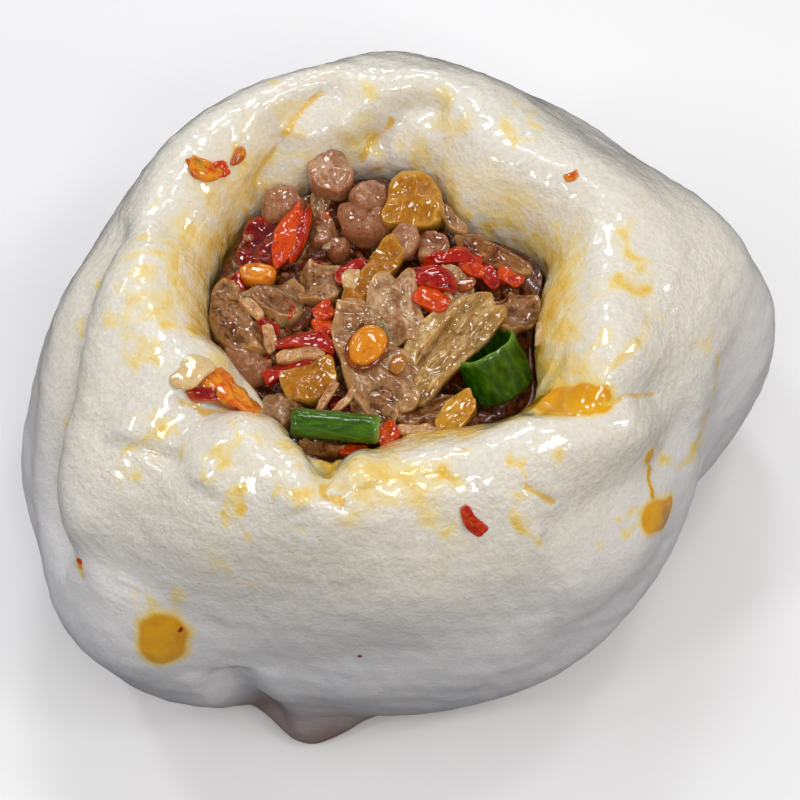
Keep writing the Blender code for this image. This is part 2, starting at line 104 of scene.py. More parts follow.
# Folds: line as (compass, way), half width, depth, and how far the left side stands above the right, in mm.
FOLDS = (
    (((134, 7.9), (120, 7.26), (118, 6.86), (110, 6.66), (96, 6.4)), 1.9, 1.1, -0.6),
    (((94, 7.6), (84, 7.06), (82, 6.86), (67, 6.38)), 1.9, 1.2, 0.3),
    (((321, 7.2), (322, 6.36), (328, 5.56), (342, 4.18)), 2.6, 1.1, 0.0),
    (((257, 7.4), (260, 6.4), (262, 5.7)), 1.8, 1.5, 0.0),
    (((226, 7.76), (226, 6.6), (224, 5.5), (225, 5.0)), 2.8, 2.0, 0.4),
    (((164, 5.62), (183, 5.12), (198, 4.5), (208, 3.84), (219, 3.62)), 3.2, 1.7, 1.2),
    (((221, 5.18), (225, 4.64), (227, 3.68)), 4.5, 1.2, 0.0),
    (((344, 3.86), (328, 3.96), (311, 4.32), (298, 4.36)), 4.5, 1.1, 0.5),
    (((245, 1.5), (244, 2.4), (242, 3.1)), 2.2, 1.5, 0.0),
)
FOLD_FADE = 0.14  # share of a fold's length over which each end fades
SWELL = 0.35 * MM  # soft unevenness of the whole skin
WRINKLE = 0.03 * MM


def bulge(angle, at, width):
    """1 at this compass angle, fading away about two widths from it."""
    away = (angle - at + 180) % 360 - 180
    return np.exp(-((away / width) ** 2))


def with_bulges(mean, bulges, angle):
    """A size round the compass: its mean with all its bulges."""
    return mean + sum(height * bulge(angle, at, width) for at, width, height in bulges)


def cubic(a, b, c, d, t):
    """Smooth curve from b to c, with a before and d after them."""
    return 0.5 * (2 * b + (c - a) * t + (2 * a - 5 * b + 4 * c - d) * t**2 + (3 * b - a - 3 * c + d) * t**3)


def fade(x):
    """0 below 0, 1 above 1, and a soft rise between."""
    x = np.clip(x, 0, 1)
    return x * x * (3 - 2 * x)


def stations(angle):
    """Radius, height and share of the mouth's offset of each station of the skin's profile."""
    belly = with_bulges(GIRTH, BELLY_BULGES, angle)
    mouth = with_bulges(MOUTH, MOUTH_BULGES, angle)
    crest = mouth + ROLL
    pocket = 0.4 * belly + 0.6 * GIRTH - WALL
    tab = TAB_REACH * bulge(angle, TAB_AT, TAB_WIDTH)
    zero = 0 * angle
    return [
        (zero, 0.0, 0.0),
        (FOOT_SHARE * belly + tab, 0.0, 0.0),
        (HEEL_SHARE * belly + 0.3 * tab, HEEL_HEIGHT, 0.0),
        (belly, BELLY_HEIGHT, 0.1),
        (0.68 * belly + 0.32 * (crest + 5 * MM), HEIGHT - SHOULDER_DROP, 0.35),
        (0.33 * belly + 0.67 * (crest + 2 * MM), HEIGHT - BROW_DROP, 0.7),
        (crest, HEIGHT, 1.0),
        (mouth + 0.38 * ROLL, HEIGHT - INNER_DROP, 1.0),
        (mouth, HEIGHT - LIP_DROP, 1.0),
        (mouth + 1.5 * MM, HEIGHT - THROAT_DROP, 0.8),
        (pocket, BELLY_HEIGHT, 0.3),
        (0.8 * pocket, FLOOR + 1.5 * MM, 0.0),
        (zero, FLOOR, 0.0),
    ]


def skin(angle, way):
    """Points of the smooth skin; a way of 5.5 is half way from the fifth station to the sixth."""
    angle, way = np.broadcast_arrays(np.asarray(angle, float), np.asarray(way, float))
    rows = stations(angle)
    rows = [(-rows[1][0], *rows[1][1:]), *rows, (-rows[-2][0], *rows[-2][1:])]
    table = np.stack([np.stack(np.broadcast_arrays(r, z, share)) for r, z, share in rows])
    span = np.clip(np.floor(way).astype(int), 0, HEART - 1)
    near = [np.take_along_axis(table, (span + k)[None, None], 0)[0] for k in range(4)]
    r, z, share = cubic(*near, way - span)
    turn = np.radians(angle)
    x = np.maximum(r, 0) * np.cos(turn) + share * MOUTH_X
    y = np.maximum(r, 0) * np.sin(turn) + share * MOUTH_Y
    return np.stack([x, y, np.maximum(z, 0)], -1)


def outward(angle, way):
    """Normals of the smooth skin, out of the dough."""
    along = skin(angle, way + 0.02) - skin(angle, way - 0.02)
    around = skin(angle + 0.5, way) - skin(angle - 0.5, way)
    normal = np.cross(around, along)
    return normal / (np.linalg.norm(normal, axis=-1, keepdims=True) + 1e-12)


def smooth_line(points, steps=12):
    """A smooth curve through a line's points, as rows of (compass, way)."""
    if len(points) == 1:
        return np.array(points, float)
    p = np.array([points[0], *points, points[-1]], float)
    s = np.linspace(0, len(points) - 1, steps * (len(points) - 1) + 1)
    i = np.clip(s.astype(int), 0, len(points) - 2)
    return cubic(p[i], p[i + 1], p[i + 2], p[i + 3], (s - i)[:, None])


def fold_height(points, normals, fold):
    """How far one fold lifts or sinks the skin at these points."""
    path, width, depth, step = fold
    compass, way = smooth_line(path).T
    line = skin(compass, way)
    tangent = np.gradient(line, axis=0)
    tangent /= np.linalg.norm(tangent, axis=1, keepdims=True)
    near = (points > line.min(0) - 6 * width * MM).all(1) & (points < line.max(0) + 6 * width * MM).all(1)
    gap = points[near][:, None] - line
    nearest = np.argmin((gap**2).sum(-1), axis=1)
    rel = gap[np.arange(len(nearest)), nearest]
    aim = tangent[nearest]
    ends = (nearest == 0) | (nearest == len(line) - 1)
    along = np.where(ends, 0, (rel * aim).sum(-1))
    away = np.sqrt(np.maximum((rel**2).sum(-1) - along**2, 0)) / (width * MM)
    side = np.sign((np.cross(normals[near], aim) * rel).sum(-1))
    share = nearest / (len(line) - 1)
    strength = fade(np.minimum(share, 1 - share) / FOLD_FADE)
    valley = -depth * np.exp(-(away**2))
    lips = 0.3 * depth * np.exp(-((away - 2) ** 2))
    ledge = step * side * np.tanh(2 * away) * np.exp(-((away / 3) ** 2))
    lift = np.zeros(len(points))
    lift[near] = MM * strength * (valley + lips + ledge)
    return lift


def waves(points, seed, count, short, long):
    """Random smooth unevenness: a sum of waves between these two lengths."""
    rng = np.random.default_rng(seed)
    total = 0
    for _ in range(count):
        aim = rng.normal(size=3)
        aim *= 2 * math.pi / (rng.uniform(short, long) * np.linalg.norm(aim))
        total = total + np.sin(points @ aim + rng.uniform(0, ANY_TURN))
    return total


def formed_skin(angle, way):
    """The skin with its folds and unevenness, and its normals."""
    points = skin(angle, way)
    normals = outward(angle, way)
    flat, aim = points.reshape(-1, 3), normals.reshape(-1, 3)
    inside = fade((way.ravel() - FOOT) / 0.7) * fade((THROAT - way.ravel()) / 1.5)
    lift = SWELL / 2 * waves(flat, seed=4, count=7, short=13 * MM, long=26 * MM) * inside
    for fold in FOLDS:
        lift = lift + fold_height(flat, aim, fold) * fade((way.ravel() - FOOT) / 0.3)
    points = (flat + aim * lift[:, None]).reshape(points.shape)
    points[..., 2] = np.maximum(points[..., 2], 0)
    return points, normals


def stroke(points, path, reach):
    """1 on a line over the skin, fading away about two reaches from it."""
    line = skin(*smooth_line(path, 40).T)
    low, high = line.min(0) - 3 * reach * MM, line.max(0) + 3 * reach * MM
    near = (points > low).all(1) & (points < high).all(1)
    away = np.full(len(points), 9.0)
    if near.any():
        gap = np.min(((points[near][:, None] - line) ** 2).sum(-1), axis=1)
        away[near] = np.sqrt(gap) / (reach * MM)
    return np.exp(-(away**2))


# Oil soaked into the dough, oil that runs in creases and oil that stands in pools: half width in mm,
# strength, and its line over the skin as (compass, way).
SOAKED = (
    (1.2, 0.5, (114, 5.8)),
    (1.6, 0.5, (94, 6.2), (94, 6.6)),
    (1.5, 0.5, (112, 6.7), (118, 6.8)),
    (1.0, 0.9, (141, 6.9), (132, 6.9)),
    (0.9, 0.5, (155, 6.5), (163, 6.1)),
    (1.6, 0.5, (180, 5.9), (171, 7.0)),
    (0.6, 0.4, (156, 6.9), (174, 7.4)),
    (1.0, 0.7, (177, 5.2), (188, 4.8)),
    (3.0, 0.6, (193, 6.3)),
    (1.9, 0.9, (189, 7.2), (203, 6.9)),
    (2.4, 0.7, (178, 6.9), (184, 7.2)),
    (1.6, 0.5, (198, 5.8), (208, 5.8)),
    (1.3, 1.3, (158, 7.8), (148, 8.0), (140, 7.8)),
    (1.5, 0.9, (166, 7.6)),
    (1.0, 0.8, (201, 4.4), (206, 3.9), (212, 3.7), (218, 3.7)),
    (0.9, 0.8, (218, 5.4), (219, 4.7)),
    (0.7, 0.5, (222, 5.4), (225, 5.1)),
    (1.3, 0.6, (234, 5.4), (238, 5.9)),
    (1.3, 0.9, (241, 5.2), (242, 5.0)),
    (1.4, 0.5, (242, 4.4), (244, 4.2)),
    (1.3, 0.7, (254, 5.9), (260, 5.8)),
    (4.0, 0.5, (265, 6.4), (282, 5.6)),
    (2.6, 0.45, (234, 3.7)),
    (1.2, 0.3, (256, 4.6)),
    (2.0, 0.3, (72, 6.4), (64, 6.7)),
    (1.4, 0.5, (50, 5.4), (44, 5.9)),
    (1.5, 0.8, (45, 7.6), (34, 7.6)),
    (0.8, 0.8, (24, 7.6), (14, 7.4)),
    (1.3, 0.6, (7, 5.8), (0, 5.5)),
    (1.5, 0.9, (356, 5.7), (356, 5.3)),
    (2.5, 0.5, (3, 7.7), (347, 6.8)),
    (1.8, 0.6, (342, 7.4)),
    (1.6, 0.5, (350, 5.3), (342, 5.3), (332, 6.2), (334, 7.2)),
    (1.4, 0.6, (354, 4.3), (344, 3.5), (330, 3.9)),
    (0.9, 1.0, (284, 5.6), (284, 5.3)),
    (1.0, 0.6, (282, 5.0)),
    (0.8, 0.7, (302, 5.6), (299, 5.2), (298, 4.7)),
    (1.4, 0.5, (310, 5.5)),
    (1.0, 0.5, (318, 3.9), (311, 4.2)),
    (0.7, 0.5, (285, 4.2)),
)
CREASES = (
    (0.55, 1, (104, 6.45), (113, 6.7), (119, 6.95), (123, 7.25), (130, 7.45), (134, 7.8)),
    (0.6, 1.1, (84, 7.0), (88, 7.3), (92, 7.55), (95, 7.7)),
    (0.55, 1, (218, 5.7), (222, 5.8), (228, 6.15), (232, 7.1)),
    (0.55, 1.3, (259, 7.6), (260, 6.4), (260, 5.9), (263, 5.6)),
    (0.5, 0.5, (88, 6.9), (75, 6.7), (64, 6.3), (54, 5.5)),
    (0.55, 0.9, (326, 5.7), (332, 5.15), (338, 4.6)),
    (0.6, 0.8, (282, 5.7), (289, 5.6)),
    (0.5, 0.6, (292, 6.2), (292, 5.9)),
    (0.5, 1, (300, 5.15), (304, 4.8)),
    (0.6, 1, (345, 8.0), (0, 8.0), (16, 8.0)),
    (0.8, 1, (140, 8.1), (155, 8.2), (172, 8.1)),
    (0.6, 0.9, (324, 7.8), (332, 8.1), (342, 8.1)),
    (0.8, 0.7, (196, 4.6), (206, 3.8), (213, 3.7), (220, 3.65)),
)
POOLS = (
    (1.5, 1.1, (320, 7.5), (323, 6.6), (326, 5.8)),
    (1.9, 0.9, (320, 6.7), (324, 6.1)),
    (2.5, 1, (234, 3.5), (234, 3.38)),
    (1.0, 1, (328, 4.25)),
    (1.7, 1, (321, 3.8), (326, 3.6)),
    (0.5, 0.7, (327, 4.1), (324, 3.9)),
    (0.5, 1, (219, 3.7)),
)
# Soaked oil round the mouth: compass, width in degrees, strength.
MOUTH_OIL = ((150, 30, 0.5), (195, 25, 0.5), (262, 32, 0.75), (300, 25, 0.55), (350, 30, 0.8), (60, 40, 0.15))
POOL_HEIGHT = 0.2 * MM
DRIFT = 0.9 * MM  # how far the edges of the soaked oil wander; creases and pools wander less
DRIFT_SEED = 31
CREASE_DEPTH = 0.25 * MM
FILM = 0.014 * MM  # fine unevenness of the damp, oily skin, which breaks up its glints
FOOT_SHADE_HEIGHT = 21 * MM  # height to which the dough's colour darkens to brown: painted shade towards the foot
TURNS = 480  # points round the skin
ROWS_PER_SPAN = (2, 16, 26, 34, 30, 20, 16, 16, 12, 4, 3, 3)


def most(points, strokes):
    """The strongest of several strokes at each point."""
    return np.max([strength * stroke(points, path, reach) for reach, strength, *path in strokes], axis=0)


def shell(rings, wrap=False):
    """Points and faces of a closed surface: rings joined in turn, closed by end points or wrapped round."""
    rings = np.asarray(rings, float)
    rows, turns = rings.shape[:2]
    index = np.arange(rows * turns).reshape(rows, turns)
    if wrap:
        index = np.concatenate([index, index[:1]])
    a, b = index[:-1], index[1:]
    quads = np.stack([a, b, np.roll(b, -1, 1), np.roll(a, -1, 1)], -1).reshape(-1, 4)
    faces = quads.tolist()
    points = rings.reshape(-1, 3)
    if not wrap:
        points = np.concatenate([points, rings[:1].mean(1), rings[-1:].mean(1)])
        start, end = len(points) - 2, len(points) - 1
        for k in range(turns):
            n = (k + 1) % turns
            faces.append([start, index[0, k], index[0, n]])
            faces.append([end, index[-1, n], index[-1, k]])
    a, b, c, d = (points[quads[:, k]] for k in range(4))
    volume = (np.cross(a, b) * c + np.cross(a, c) * d).sum()
    return points, faces if volume > 0 else [face[::-1] for face in faces]


def make_mesh(name, shells, node, slot, **fields):
    """One piece of the object from its shells; each field lists the values of every shell's points."""
    points, faces = [], []
    for shell_points, shell_faces in shells:
        start = sum(len(p) for p in points)
        points.append(shell_points)
        faces.extend([i + start for i in face] for face in shell_faces)
    mesh = bpy.data.meshes.new(name)
    mesh.from_pydata((np.concatenate(points) + SHIFT).tolist(), [], faces)
    for field, values in fields.items():
        layer = mesh.attributes.new(field, "FLOAT", "POINT")
        full = []
        for (shell_points, _), value in zip(shells, values):
            value = value.ravel()
            if len(value) == 1:  # one value for the whole shell
                value = np.repeat(value, len(shell_points))
            if len(value) < len(shell_points):  # the two end points take the first and the last value
                value = np.concatenate([value, value[:1], value[-1:]])
            full.append(value)
        layer.data.foreach_set("value", np.concatenate(full).astype(np.float32))
    mesh.polygons.foreach_set("use_smooth", [True] * len(mesh.polygons))
    piece = bpy.data.objects.new(name, mesh)
    bpy.context.collection.objects.link(piece)
    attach(piece, "root")
    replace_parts(piece, node)
    return piece


class Wire:
    """One output of a material's nodes. Sums written with wires become nodes of that material."""

    def __init__(self, tree, socket):
        self.tree, self.socket = tree, socket

    def node(self, kind, sockets, output=0, **settings):
        """Any node: its type, the values or wires of its sockets, which output it gives, and its settings."""
        node = self.tree.nodes.new("ShaderNode" + kind)
        for name, value in settings.items():
            setattr(node, name, value)
        for name, value in sockets.items():
            if isinstance(value, Wire):
                self.tree.links.new(value.socket, node.inputs[name])
            else:
                node.inputs[name].default_value = value
        return Wire(self.tree, node.outputs[output])

    def maths(self, operation, *values):
        """A sum of wires and numbers."""
        return self.node("Math", dict(enumerate(values)), operation=operation)

    def __add__(self, other):
        return self.maths("ADD", self, other)

    def __sub__(self, other):
        return self.maths("SUBTRACT", self, other)

    def __rsub__(self, other):
        return self.maths("SUBTRACT", other, self)

    def __mul__(self, other):
        return self.maths("MULTIPLY", self, other)

    __radd__, __rmul__ = __add__, __mul__

    def most(self, other):
        """The larger of two wires."""
        return self.maths("MAXIMUM", self, other)

    def step(self, low, high):
        """0 below low, 1 above high, and a soft rise between."""
        sockets = {"Value": self, "From Min": low, "From Max": high}
        return self.node("MapRange", sockets, interpolation_type="SMOOTHSTEP")

    def mix(self, a, b):
        """Colour a where this wire is 0, colour b where it is 1."""
        colours = [c if isinstance(c, Wire) else (*c, 1) for c in (a, b)]
        return self.node("Mix", {0: self, 6: colours[0], 7: colours[1]}, 2, data_type="RGBA")

    def noise(self, size, detail=2.0, roughness=0.5, twist=0.0):
        """Cloudy noise with lumps of this size; this wire is the place."""
        sockets = {"Vector": self, "Scale": 1 / size, "Detail": detail, "Roughness": roughness}
        return self.node("TexNoise", {**sockets, "Distortion": twist})

    def cells(self, size):
        """Pebbly cells of this size; this wire is the place."""
        return self.node("TexVoronoi", {"Vector": self, "Scale": 1 / size}, "Distance", feature="F1")

    def field(self, name):
        """One of the mesh's own fields."""
        return self.node("Attribute", {}, "Fac", attribute_name=name)

    def bump(self, height):
        """A normal from a height in metres."""
        return self.node("Bump", {"Strength": 1.0, "Distance": 1.0, "Height": height})


def make_material(name, **constants):
    """A new material with these constants, its shader, and the place on the object as a wire."""
    material = bpy.data.materials.new(name)
    material.use_nodes = True
    tree = material.node_tree
    shader = tree.nodes["Principled BSDF"]
    for socket, value in constants.items():
        shader.inputs[socket.replace("_", " ")].default_value = value
    place = Wire(tree, tree.nodes.new("ShaderNodeTexCoord").outputs["Object"])
    return material, shader, place


def feed(shader, **wires):
    """Link wires to the shader's sockets."""
    for socket, wire in wires.items():
        wire.tree.links.new(wire.socket, shader.inputs[socket.replace("_", " ")])


spans = [np.linspace(i, i + 1, rows, endpoint=False) for i, rows in enumerate(ROWS_PER_SPAN)]
skin_way = np.append(np.concatenate(spans), HEART)[1:-1, None]
skin_angle = np.arange(TURNS)[None] * 360 / TURNS
skin_angle, skin_way = np.broadcast_arrays(skin_angle, skin_way)
points, normals = formed_skin(skin_angle, skin_way)
flat, flat_way, flat_angle = points.reshape(-1, 3), skin_way.ravel(), skin_angle.ravel()
ring_oil = with_bulges(0.06, MOUTH_OIL, flat_angle) * fade((flat_way - CREST) / 1.7)
even = skin(flat_angle, flat_way)
drift = [waves(even, DRIFT_SEED + axis, count=8, short=2.5 * MM, long=7 * MM) for axis in range(3)]
drift = DRIFT / 2 * np.stack(drift, -1)
soaked = np.maximum(most(even + drift, SOAKED), ring_oil)
creases = most(even + 0.25 * drift, CREASES)
pools = most(even + 0.15 * drift, POOLS)
gloss = fade((flat_way - BELLY) / 1.8) * fade((POCKET + 0.5 - flat_way) / 1.5)
shown = fade((flat_way - FOOT) / 0.7)
wrinkles = waves(flat, seed=11, count=12, short=2.2 * MM, long=6 * MM)
ripples = waves(flat, seed=17, count=24, short=0.9 * MM, long=1.7 * MM)
lift = WRINKLE / 2 * wrinkles * shown + FILM / 2 * ripples * gloss * (1 - fade(pools))
lift = lift + POOL_HEIGHT * fade((pools - 0.2) / 0.5) - CREASE_DEPTH * creases
raised = flat + normals.reshape(-1, 3) * lift[:, None]
raised[:, 2] = np.maximum(raised[:, 2], 0)
dough = make_mesh(
    "dough_skin",
    [shell(raised.reshape(points.shape))],
    "dough",
    "dough",
    soaked=[soaked],
    crease=[creases],
    pool=[pools],
    gloss=[gloss],
    # foot: how much painted shade darkens the dough, most at the table
    foot=[(1 - fade(flat[:, 2] / FOOT_SHADE_HEIGHT)) ** 2],
)

# Steamed dough is a matt, slightly see-through white; oil turns it cream to deep yellow and makes it shine.
material, shader, place = make_material(
    "dough",
    Subsurface_Weight=0.3,
    Subsurface_Radius=(1.0, 0.8, 0.6),
    Subsurface_Scale=0.9 * MM,
    Coat_Roughness=0.07,
)
gloss = place.field("gloss")
cloud = place.noise(3.2 * MM, 4, 0.6)
patchy = place.noise(7 * MM, 3, 0.55)
streaks = place.noise(1.3 * MM, 3, 0.6, 0.6)
grain = place.noise(0.28 * MM, 2, 0.6)
wool = place.noise(0.55 * MM, 1.5, 0.45, 0.4)
swell = place.noise(3 * MM, 1, 0.4)
soaked = place.field("soaked")
blots = cloud.step(0.3, 0.7)
standing = place.field("pool")
stain = soaked * (0.6 + 0.7 * blots) + ((blots - 0.5) * 0.28 + (streaks - 0.5) * 0.3) * soaked.step(0.04, 0.3)
stain = stain + gloss * (patchy.step(0.45, 0.7) * 0.16 + 0.04) + standing.step(0.01, 0.4) * 0.75
pool = (standing + (cloud - 0.5) * 0.15).step(0.25, 0.45)
crease = place.field("crease") * (0.6 + 0.8 * streaks)
foot = place.field("foot")
dry = (patchy * 0.4 + grain.step(0.3, 0.7) * 0.6).mix((0.72, 0.72, 0.75), (0.87, 0.865, 0.88))
# painted shade: towards the foot the colour darkens to deep brown
dry = (foot * (0.7 + 0.5 * patchy)).mix(dry, (0.16, 0.085, 0.065))
damp = gloss.mix(dry, wool.step(0.3, 0.7).mix((0.79, 0.74, 0.63), (0.86, 0.82, 0.73)))
colour = stain.step(0.08, 0.5).mix(damp, (0.88, 0.74, 0.4))
colour = stain.step(0.4, 0.85).mix(colour, (0.88, 0.62, 0.15))
colour = stain.step(0.8, 1.4).mix(colour, (0.86, 0.46, 0.03))
colour = pool.mix(colour, cloud.step(0.35, 0.65).mix((0.74, 0.32, 0.0), (0.84, 0.42, 0.0)))
colour = (crease.step(0.35, 0.8) * 0.8).mix(colour, (0.86, 0.52, 0.04))
relief = (grain * (0.035 + 0.015 * gloss) + wool * (0.05 + 0.1 * gloss)) * (1 - pool * 0.8) + swell * 0.2
coat = (gloss * (0.3 + patchy) + (1 - foot) * 0.3).most(pool).most(crease.step(0.3, 0.9))
shine = 0.48 - gloss * 0.22 - crease.step(0.2, 0.8) * 0.08 - pool * 0.08
feed(
    shader,
    Base_Color=colour,
    Roughness=shine + (grain - 0.5) * 0.12,
    Coat_Weight=coat,
    Normal=place.bump(relief * MM),
)
dough.data.materials.append(material)

# ---- the sauce ----
# Braised mince bound in dark chilli oil. It fills the pocket to just under the lip, and shows only in the
# gaps between the pieces that lie on it.
FILLING_HEIGHT = 40.0 * MM
CLEARANCE = 0.4 * MM  # between the sauce and the dough round it
HEAP_SLOPE = (-0.04, 0.05)  # rise along X and Y
HEAP_DIPS = ((9 * MM, -9 * MM, 7 * MM, 3.0 * MM), (-7 * MM, -18 * MM, 5 * MM, 1.0 * MM))  # x, y, reach, depth
HEAP_TURNS, HEAP_RINGS = 160, 60
WALL_WAYS = (8.06, 8.5, 9, 9.5, 10, 10.5, 11, 11.5, 11.9)  # from the lip down the pocket
LUMP, LUMP_SPREAD = 0.25 * MM, 1.6


def heap_height(x, y):
    """Level of the sauce: higher at the far left, lower round the scallions."""
    level = FILLING_HEIGHT + HEAP_SLOPE[0] * x + HEAP_SLOPE[1] * y
    for sx, sy, reach, drop in HEAP_DIPS:
        level = level - drop * np.exp(-((x - sx) ** 2 + (y - sy) ** 2) / reach**2)
    return level


heap_angle = np.arange(HEAP_TURNS) * 360 / HEAP_TURNS
wall, wall_normals = formed_skin(*np.broadcast_arrays(heap_angle[None], np.array(WALL_WAYS)[:, None]))
wall = wall + wall_normals * CLEARANCE
middle = np.array((MOUTH_X, MOUTH_Y, 0))
share = np.linspace(0.02, 0.99, HEAP_RINGS)[:, None, None]
heap = middle + (wall[0] - middle) * share
lumps = waves(heap * (1, 1, 0), seed=21, count=14, short=0.9 * MM, long=3 * MM)
heap_level = heap_height(heap[..., 0], heap[..., 1]) + LUMP * lumps / LUMP_SPREAD
heap[..., 2] = heap_level + (wall[0][:, 2] - heap_level) * share[..., 0] ** 12
sauce = make_mesh("sauce", [shell(np.concatenate([heap, wall]))], "filling", "filling")
material, shader, place = make_material("sauce", Coat_Weight=1.0, Coat_Roughness=0.04)
clot = place.noise(1.1 * MM, 4, 0.65)
colour = clot.step(0.35, 0.75).mix((0.05, 0.005, 0.001), (0.3, 0.08, 0.012))
colour = place.noise(2.6 * MM, 3).step(0.55, 0.75).mix(colour, (0.34, 0.015, 0.002))
relief = clot * 0.35 * MM + place.cells(0.9 * MM) * 0.12 * MM
feed(shader, Base_Color=colour, Roughness=0.12 + clot * 0.14, Normal=place.bump(relief))
sauce.data.materials.append(material)

# ---- the pieces in the sauce ----
# Diced meat, slices of mushroom and bamboo shoot, yellow leaf, chilli with its pith and seeds, and one long
# stem: cut by knife, softened in the braise, curled, and wet with oil.
# Kinds: how square and how ragged the outline is, how flat the top, how far the edges turn down, and in mm
# how deep its folds are, how crumpled it is, its shortest crumple, and how deep the pleats along it are.
KINDS = {
    "meat": (2.3, 0.08, 0.35, 0.0, 0.45, 0.08, 1.5, 0.0),
    "slice": (3.0, 0.17, 0.85, 0.2, 0.65, 0.07, 1.3, 0.18),
    "olive": (3.6, 0.07, 0.85, 0.2, 0.5, 0.07, 1.2, 0.2),
    "chilli": (4.5, 0.07, 0.88, 0.15, 0.3, 0.06, 1.2, 0.1),
    "shard": (1.35, 0.05, 0.45, 0.0, 0.2, 0.06, 1.2, 0.0),
    "pith": (4.0, 0.08, 0.7, 0.1, 0.25, 0.07, 1.1, 0.1),
    "seed": (2.1, 0.015, 0.55, 0.0, 0.0, 0.02, 1.2, 0.0),
    "onion": (3.2, 0.06, 0.7, 0.6, 0.4, 0.07, 1.2, 0.25),
    "stem": (4.0, 0.08, 0.75, 0.3, 0.45, 0.05, 1.4, 0.25),
    "oil": (2.0, 0.05, 0.3, 0.0, 0.0, 0.0, 1.2, 0.0),
    "sheet": (3.0, 0.14, 0.8, 0.1, 0.3, 0.08, 1.2, 0.1),
}
PLEAT = 1.7 * MM  # from one pleat to the next
SLOW_WOBBLE, QUICK_WOBBLE = 1.9 * MM, 0.8 * MM  # lengths over which a pleat strays
GROOVE = 0.1 * MM  # dent round the germ of a seed
MORSEL_TURNS, SMALL_TURNS, CRUMB_TURNS = 72, 36, 16

